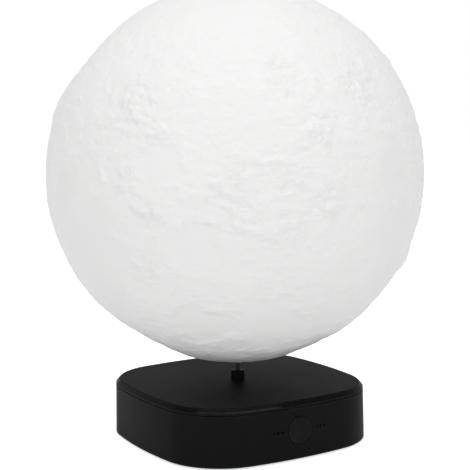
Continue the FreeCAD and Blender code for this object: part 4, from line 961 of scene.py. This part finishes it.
def draw_collar(ball, rim, drop, sizes):
    """Draw the rim up to its seat and round the collar; returns the new rim's edges."""
    seat = sizes.cap_edge - drop
    top = seat + sizes.collar_height
    for radius, height in ((OPENING_RADIUS, seat), (sizes.collar_bore, seat), (sizes.collar_bore, top),
                           (sizes.collar_radius, top)):
        rim = draw_ring(ball, rim, radius, height)
    return rim


def draw_lining(ball, rim, sizes, rings=36):
    """Draw the rim on up the inside of the ball, and close it at the top."""
    inner = GLOBE_RADIUS - sizes.wall
    start = math.asin(sizes.collar_radius / inner)
    for number in range(rings + 1):
        slope = start + (LINING_END - start) * number / rings
        rim = draw_ring(ball, rim, inner * math.sin(slope), -inner * math.cos(slope))
    bmesh.ops.contextual_create(ball, geom=rim)


# -------- pieces

# Slack in finding edges by their level.
SLACK = 0.1 * MM
# The cap's edges are rounded up to this height, and the post's from this height over the cover.
CAP_SKIRT = 5 * MM
POST_FOOT = 0.5 * MM
# Cuts in the housing's wall, over its foot and below its top, and the edge's drop from the top.
FOOT_CUT = 1.1 * MM
RIM_CUT = 1.4 * MM
LIP = 0.3 * MM
# The outer face lies within SIDE_BOW of the half width, or at a corner CORNER_REACH times as far out.
SIDE_BOW = 1.6 * MM
CORNER_REACH = 1.08


def outside(place):
    """True on the housing's outer face: no other part of it lies as far out."""
    half = HOUSING_HIGH.x
    return max(abs(place.x), abs(place.y)) > half - SIDE_BOW or place.xy.length > half * CORNER_REACH


class MOONLAMP_OT_globe(Operator):
    """Model the hollow relief globe, with its opening and collar"""

    bl_idname = "moon_lamp.globe"
    bl_label = "Relief globe"

    def execute(self, context):
        sizes = context.scene.moon_lamp.globe
        ball = even_ball(sizes.grid)
        push_out(ball, sizes)
        rim, drop = open_bottom(ball)
        rim = draw_collar(ball, rim, drop, sizes)
        draw_lining(ball, rim, sizes)
        bmesh.ops.recalc_face_normals(ball, faces=ball.faces[:])
        bmesh.ops.translate(ball, verts=ball.verts[:], vec=(0, 0, GLOBE_HEIGHT))
        finished(ball, "relief_globe", "globe", "moon_white", "globe_shell", corner=60)
        return {"FINISHED"}


class MOONLAMP_OT_cap(Operator):
    """Finish the cap under the globe, its screws, sockets and charging board"""

    bl_idname = "moon_lamp.cap"
    bl_label = "Bottom cap"

    def execute(self, context):
        soften("softened_cap", "globe_cap", "globe", "cap_white",
               lambda place: place.z < CAP_LOW.z + CAP_SKIRT,
               context.scene.moon_lamp.base.small_round, segments=2)
        dress(cap_screws="screw_steel", pin_socket="socket_brass", charge_socket="socket_steel",
              charge_board="circuit_board")
        return {"FINISHED"}


class MOONLAMP_OT_lighting(Operator):
    """Finish the column, cell, light board and diffuser inside the globe"""

    bl_idname = "moon_lamp.lighting"
    bl_label = "Inner light"

    def execute(self, context):
        dress(lamp_column="column_white", battery_cell="battery_sleeve", light_board="circuit_board",
              light_chips="indicator", light_diffuser="diffuser_white")
        return {"FINISHED"}


class MOONLAMP_OT_cover(Operator):
    """Round the lower edge of the top cover's rim"""

    bl_idname = "moon_lamp.cover"
    bl_label = "Top cover"

    def execute(self, context):
        sizes = context.scene.moon_lamp.base
        level = COVER_TOP - sizes.rim_height
        soften("softened_cover", "top_cover", "base", "base_black_gloss",
               lambda place: abs(place.z - level) < SLACK and outside(place), sizes.wall_round)
        return {"FINISHED"}


class MOONLAMP_OT_housing(Operator):
    """Round the outer edges of the housing, with a cut beside each that holds its shading"""

    bl_idname = "moon_lamp.housing"
    bl_label = "Housing"

    def execute(self, context):
        top, bottom = HOUSING_HIGH.z, HOUSING_LOW.z

        def outer(place):
            """Foot edge and the edge over the wall, outside only."""
            level = place.z < bottom + SLACK or abs(place.z - top + LIP) < SLACK
            return level and outside(place)

        soften("softened_housing", "base_housing", "base", "base_black", outer,
               context.scene.moon_lamp.base.wall_round, flatness=0.02,
               cuts=(bottom + FOOT_CUT, top - RIM_CUT))
        return {"FINISHED"}


class MOONLAMP_OT_underside(Operator):
    """Finish the base plate, the feet and the base screws"""

    bl_idname = "moon_lamp.underside"
    bl_label = "Underside"

    def execute(self, context):
        dress(base_plate="base_black", rubber_feet="rubber", base_screws="screw_steel")
        return {"FINISHED"}


class MOONLAMP_OT_post(Operator):
    """Finish the bearing post, the bushes and the spindle"""

    bl_idname = "moon_lamp.post"
    bl_label = "Bearing post and spindle"

    def execute(self, context):
        soften("softened_post", "bearing_post", "base", "post_black",
               lambda place: place.z > COVER_TOP + POST_FOOT, context.scene.moon_lamp.base.small_round)
        dress(upper_bush="bronze", lower_bush="bronze", spindle_shaft="spindle_steel",
              thrust_washer="washer_nylon")
        return {"FINISHED"}


class MOONLAMP_OT_drive(Operator):
    """Finish the wheel, the pinion, the motor and its strap"""

    bl_idname = "moon_lamp.drive"
    bl_label = "Drive"

    def execute(self, context):
        dress(spindle_wheel="gear_white", motor_pinion="pinion_brass", motor_shaft="spindle_steel",
              gear_motor="motor_can", motor_bracket="bracket_steel", bracket_screws="screw_steel",
              motor_screws="screw_steel")
        return {"FINISHED"}


class MOONLAMP_OT_button(Operator):
    """Round the button's face and finish the switch behind it"""

    bl_idname = "moon_lamp.button"
    bl_label = "Push button"

    def execute(self, context):
        soften("softened_button", "button_cap", "button", "button_black",
               lambda place: place.y < BUTTON_FACE + SLACK, context.scene.moon_lamp.base.wall_round)
        dress(button_switch="component_black", switch_plunger="button_black")
        return {"FINISHED"}


class MOONLAMP_OT_boards(Operator):
    """Finish the boards, what is on them, the inlet and the inner leads"""

    bl_idname = "moon_lamp.boards"
    bl_label = "Boards, inlet and leads"

    def execute(self, context):
        dress(main_board="circuit_board", front_board="circuit_board", board_components="component_black",
              board_screws="screw_steel", power_inlet="socket_steel", indicator_lights="indicator",
              light_pipes="clear_plastic", motor_lead="lead_sleeve", front_lead="lead_sleeve")
        return {"FINISHED"}


# -------- stage

FLOOR_GLOW = 0.6
FLOOR_DROP = 0.02 * MM
LAMP_MIDDLE = Vector((0, 0, 0.12))
OVERHEAD_PLACE = (-0.15, -0.35, 1.7)
OVERHEAD_SIZE = 1.4
SIDE_BOX_SIZE = 1.0
SIDE_BOX_HEIGHT = 0.35
# Each side box stands this far round from the camera.
SIDE_BOX_TURN = math.radians(36)
CLIP_END = 50
# Millimetres, as Blender counts lenses.
SENSOR_WIDTH = 36


def pale_floor():
    """Pale floor that the camera and reflections see as white, with the soft shadow left in."""
    finish = Finish((0.88, 0.88, 0.88), 0.9, specular=0.0)
    finish.material.name = "pale_floor_finish"
    tree = finish.tree
    feed(finish.tone(noise_value(tree, finish.place, 30), 0.99, 1.01), finish.sockets["Base Color"])
    path = tree.nodes.new("ShaderNodeLightPath").outputs
    mirror = maths(tree, "MAXIMUM", path["Is Glossy Ray"], path["Is Transmission Ray"])
    seen = maths(tree, "MAXIMUM", path["Is Camera Ray"], mirror)
    finish.sockets["Emission Color"].default_value = (1, 1, 1, 1)
    feed(times(tree, seen, FLOOR_GLOW), finish.sockets["Emission Strength"])
    return finish.material


def lay_floor(size):
    """A wide square floor, a hair below the feet."""
    floor = bmesh.new()
    bmesh.ops.create_grid(floor, x_segments=2, y_segments=2, size=size,
                          matrix=Matrix.Translation((0, 0, -FLOOR_DROP)))
    mesh = bpy.data.meshes.new("floor")
    floor.to_mesh(mesh)
    floor.free()
    mesh.materials.append(pale_floor())
    holder = placed("floor", mesh)


def light_world(strength):
    """Even white light from all round, seen as plain white."""
    world = bpy.data.worlds.new("soft_studio")
    world.use_nodes = True
    bpy.context.scene.world = world
    tree = world.node_tree
    background = tree.nodes["Background"].inputs
    background["Color"].default_value = (1, 1, 1, 1)
    path = tree.nodes.new("ShaderNodeLightPath").outputs
    seen = maths(tree, "MAXIMUM", path["Is Camera Ray"], path["Is Transmission Ray"])
    feed(plus(tree, times(tree, seen, 1 - strength), strength), background["Strength"])


def soft_box(name, power, size, place):
    """A square area light that points at the middle of the lamp."""
    light = bpy.data.lights.new(name, "AREA")
    light.shape = "SQUARE"
    light.size = size
    light.energy = power
    holder = placed(name, light)
    holder.location = place
    holder.rotation_euler = (LAMP_MIDDLE - Vector(place)).to_track_quat("-Z", "Y").to_euler()


def make_camera(stage):
    """The photograph's view."""
    azimuth, elevation, roll = stage.azimuth, stage.elevation, stage.roll
    right = Vector((math.cos(azimuth), math.sin(azimuth), 0))
    back = Vector((math.sin(azimuth) * math.cos(elevation), -math.cos(azimuth) * math.cos(elevation),
                   math.sin(elevation)))
    up = back.cross(right)
    across = right * math.cos(roll) + up * math.sin(roll)
    upward = up * math.cos(roll) - right * math.sin(roll)
    target = right * stage.target_side + Vector((0, 0, stage.target_height))
    camera = bpy.data.cameras.new("camera")
    camera.sensor_width = SENSOR_WIDTH
    camera.lens = stage.lens
    camera.clip_end = CLIP_END
    holder = placed("camera", camera)
    turn = Matrix((across, upward, back)).transposed().to_4x4()
    holder.matrix_world = Matrix.Translation(target + back * stage.distance) @ turn
    bpy.context.scene.camera = holder


class MOONLAMP_OT_stage(Operator):
    """Set the floor, the light and the camera"""

    bl_idname = "moon_lamp.stage"
    bl_label = "Studio stage"

    def execute(self, context):
        stage = context.scene.moon_lamp.stage
        context.scene.view_settings.view_transform = "Standard"
        lay_floor(stage.floor_size)
        light_world(stage.world)
        soft_box("overhead_box", stage.key, OVERHEAD_SIZE, OVERHEAD_PLACE)
        for name, side in (("left_box", -1), ("right_box", 1)):
            turn = stage.azimuth + side * SIDE_BOX_TURN
            place = (stage.side_reach * math.sin(turn), -stage.side_reach * math.cos(turn), SIDE_BOX_HEIGHT)
            soft_box(name, stage.side, SIDE_BOX_SIZE, place)
        make_camera(stage)
        return {"FINISHED"}


# -------- panel and registering


class MOONLAMP_PT_panel(Panel):
    """Lists the lamp's pieces in the sidebar"""

    bl_idname = "MOONLAMP_PT_panel"
    bl_label = "Moon Lamp"
    bl_space_type = "VIEW_3D"
    bl_region_type = "UI"
    bl_category = "Moon Lamp"

    def draw(self, context):
        settings = context.scene.moon_lamp
        for group in (settings.globe, settings.base, settings.finish, settings.stage):
            box = self.layout.box()
            for name in group.bl_rna.properties.keys():
                if name not in ("rna_type", "name"):
                    box.prop(group, name)
        for operator in PIECES:
            self.layout.operator(operator.bl_idname)


SETTINGS = (MoonGlobeSettings, BaseSettings, FinishSettings, StageSettings, MoonLampSettings)
PIECES = (
    MOONLAMP_OT_globe, MOONLAMP_OT_cap, MOONLAMP_OT_lighting, MOONLAMP_OT_cover, MOONLAMP_OT_housing,
    MOONLAMP_OT_underside, MOONLAMP_OT_post, MOONLAMP_OT_drive, MOONLAMP_OT_button, MOONLAMP_OT_boards,
    MOONLAMP_OT_stage,
)
CLASSES = SETTINGS + PIECES + (MOONLAMP_PT_panel,)


def register():
    """Register the settings, the operators and the panel."""
    for item in CLASSES:
        bpy.utils.register_class(item)
    bpy.types.Scene.moon_lamp = PointerProperty(type=MoonLampSettings)


def unregister():
    """Take everything back out."""
    del bpy.types.Scene.moon_lamp
    for item in reversed(CLASSES):
        bpy.utils.unregister_class(item)


def main():
    """Dress the lamp and set the stage."""
    register()
    build_groups()
    build_finishes()
    for operator in PIECES:
        family, name = operator.bl_idname.split(".")
        getattr(getattr(bpy.ops, family), name)()


if __name__ == "__main__":
    main()
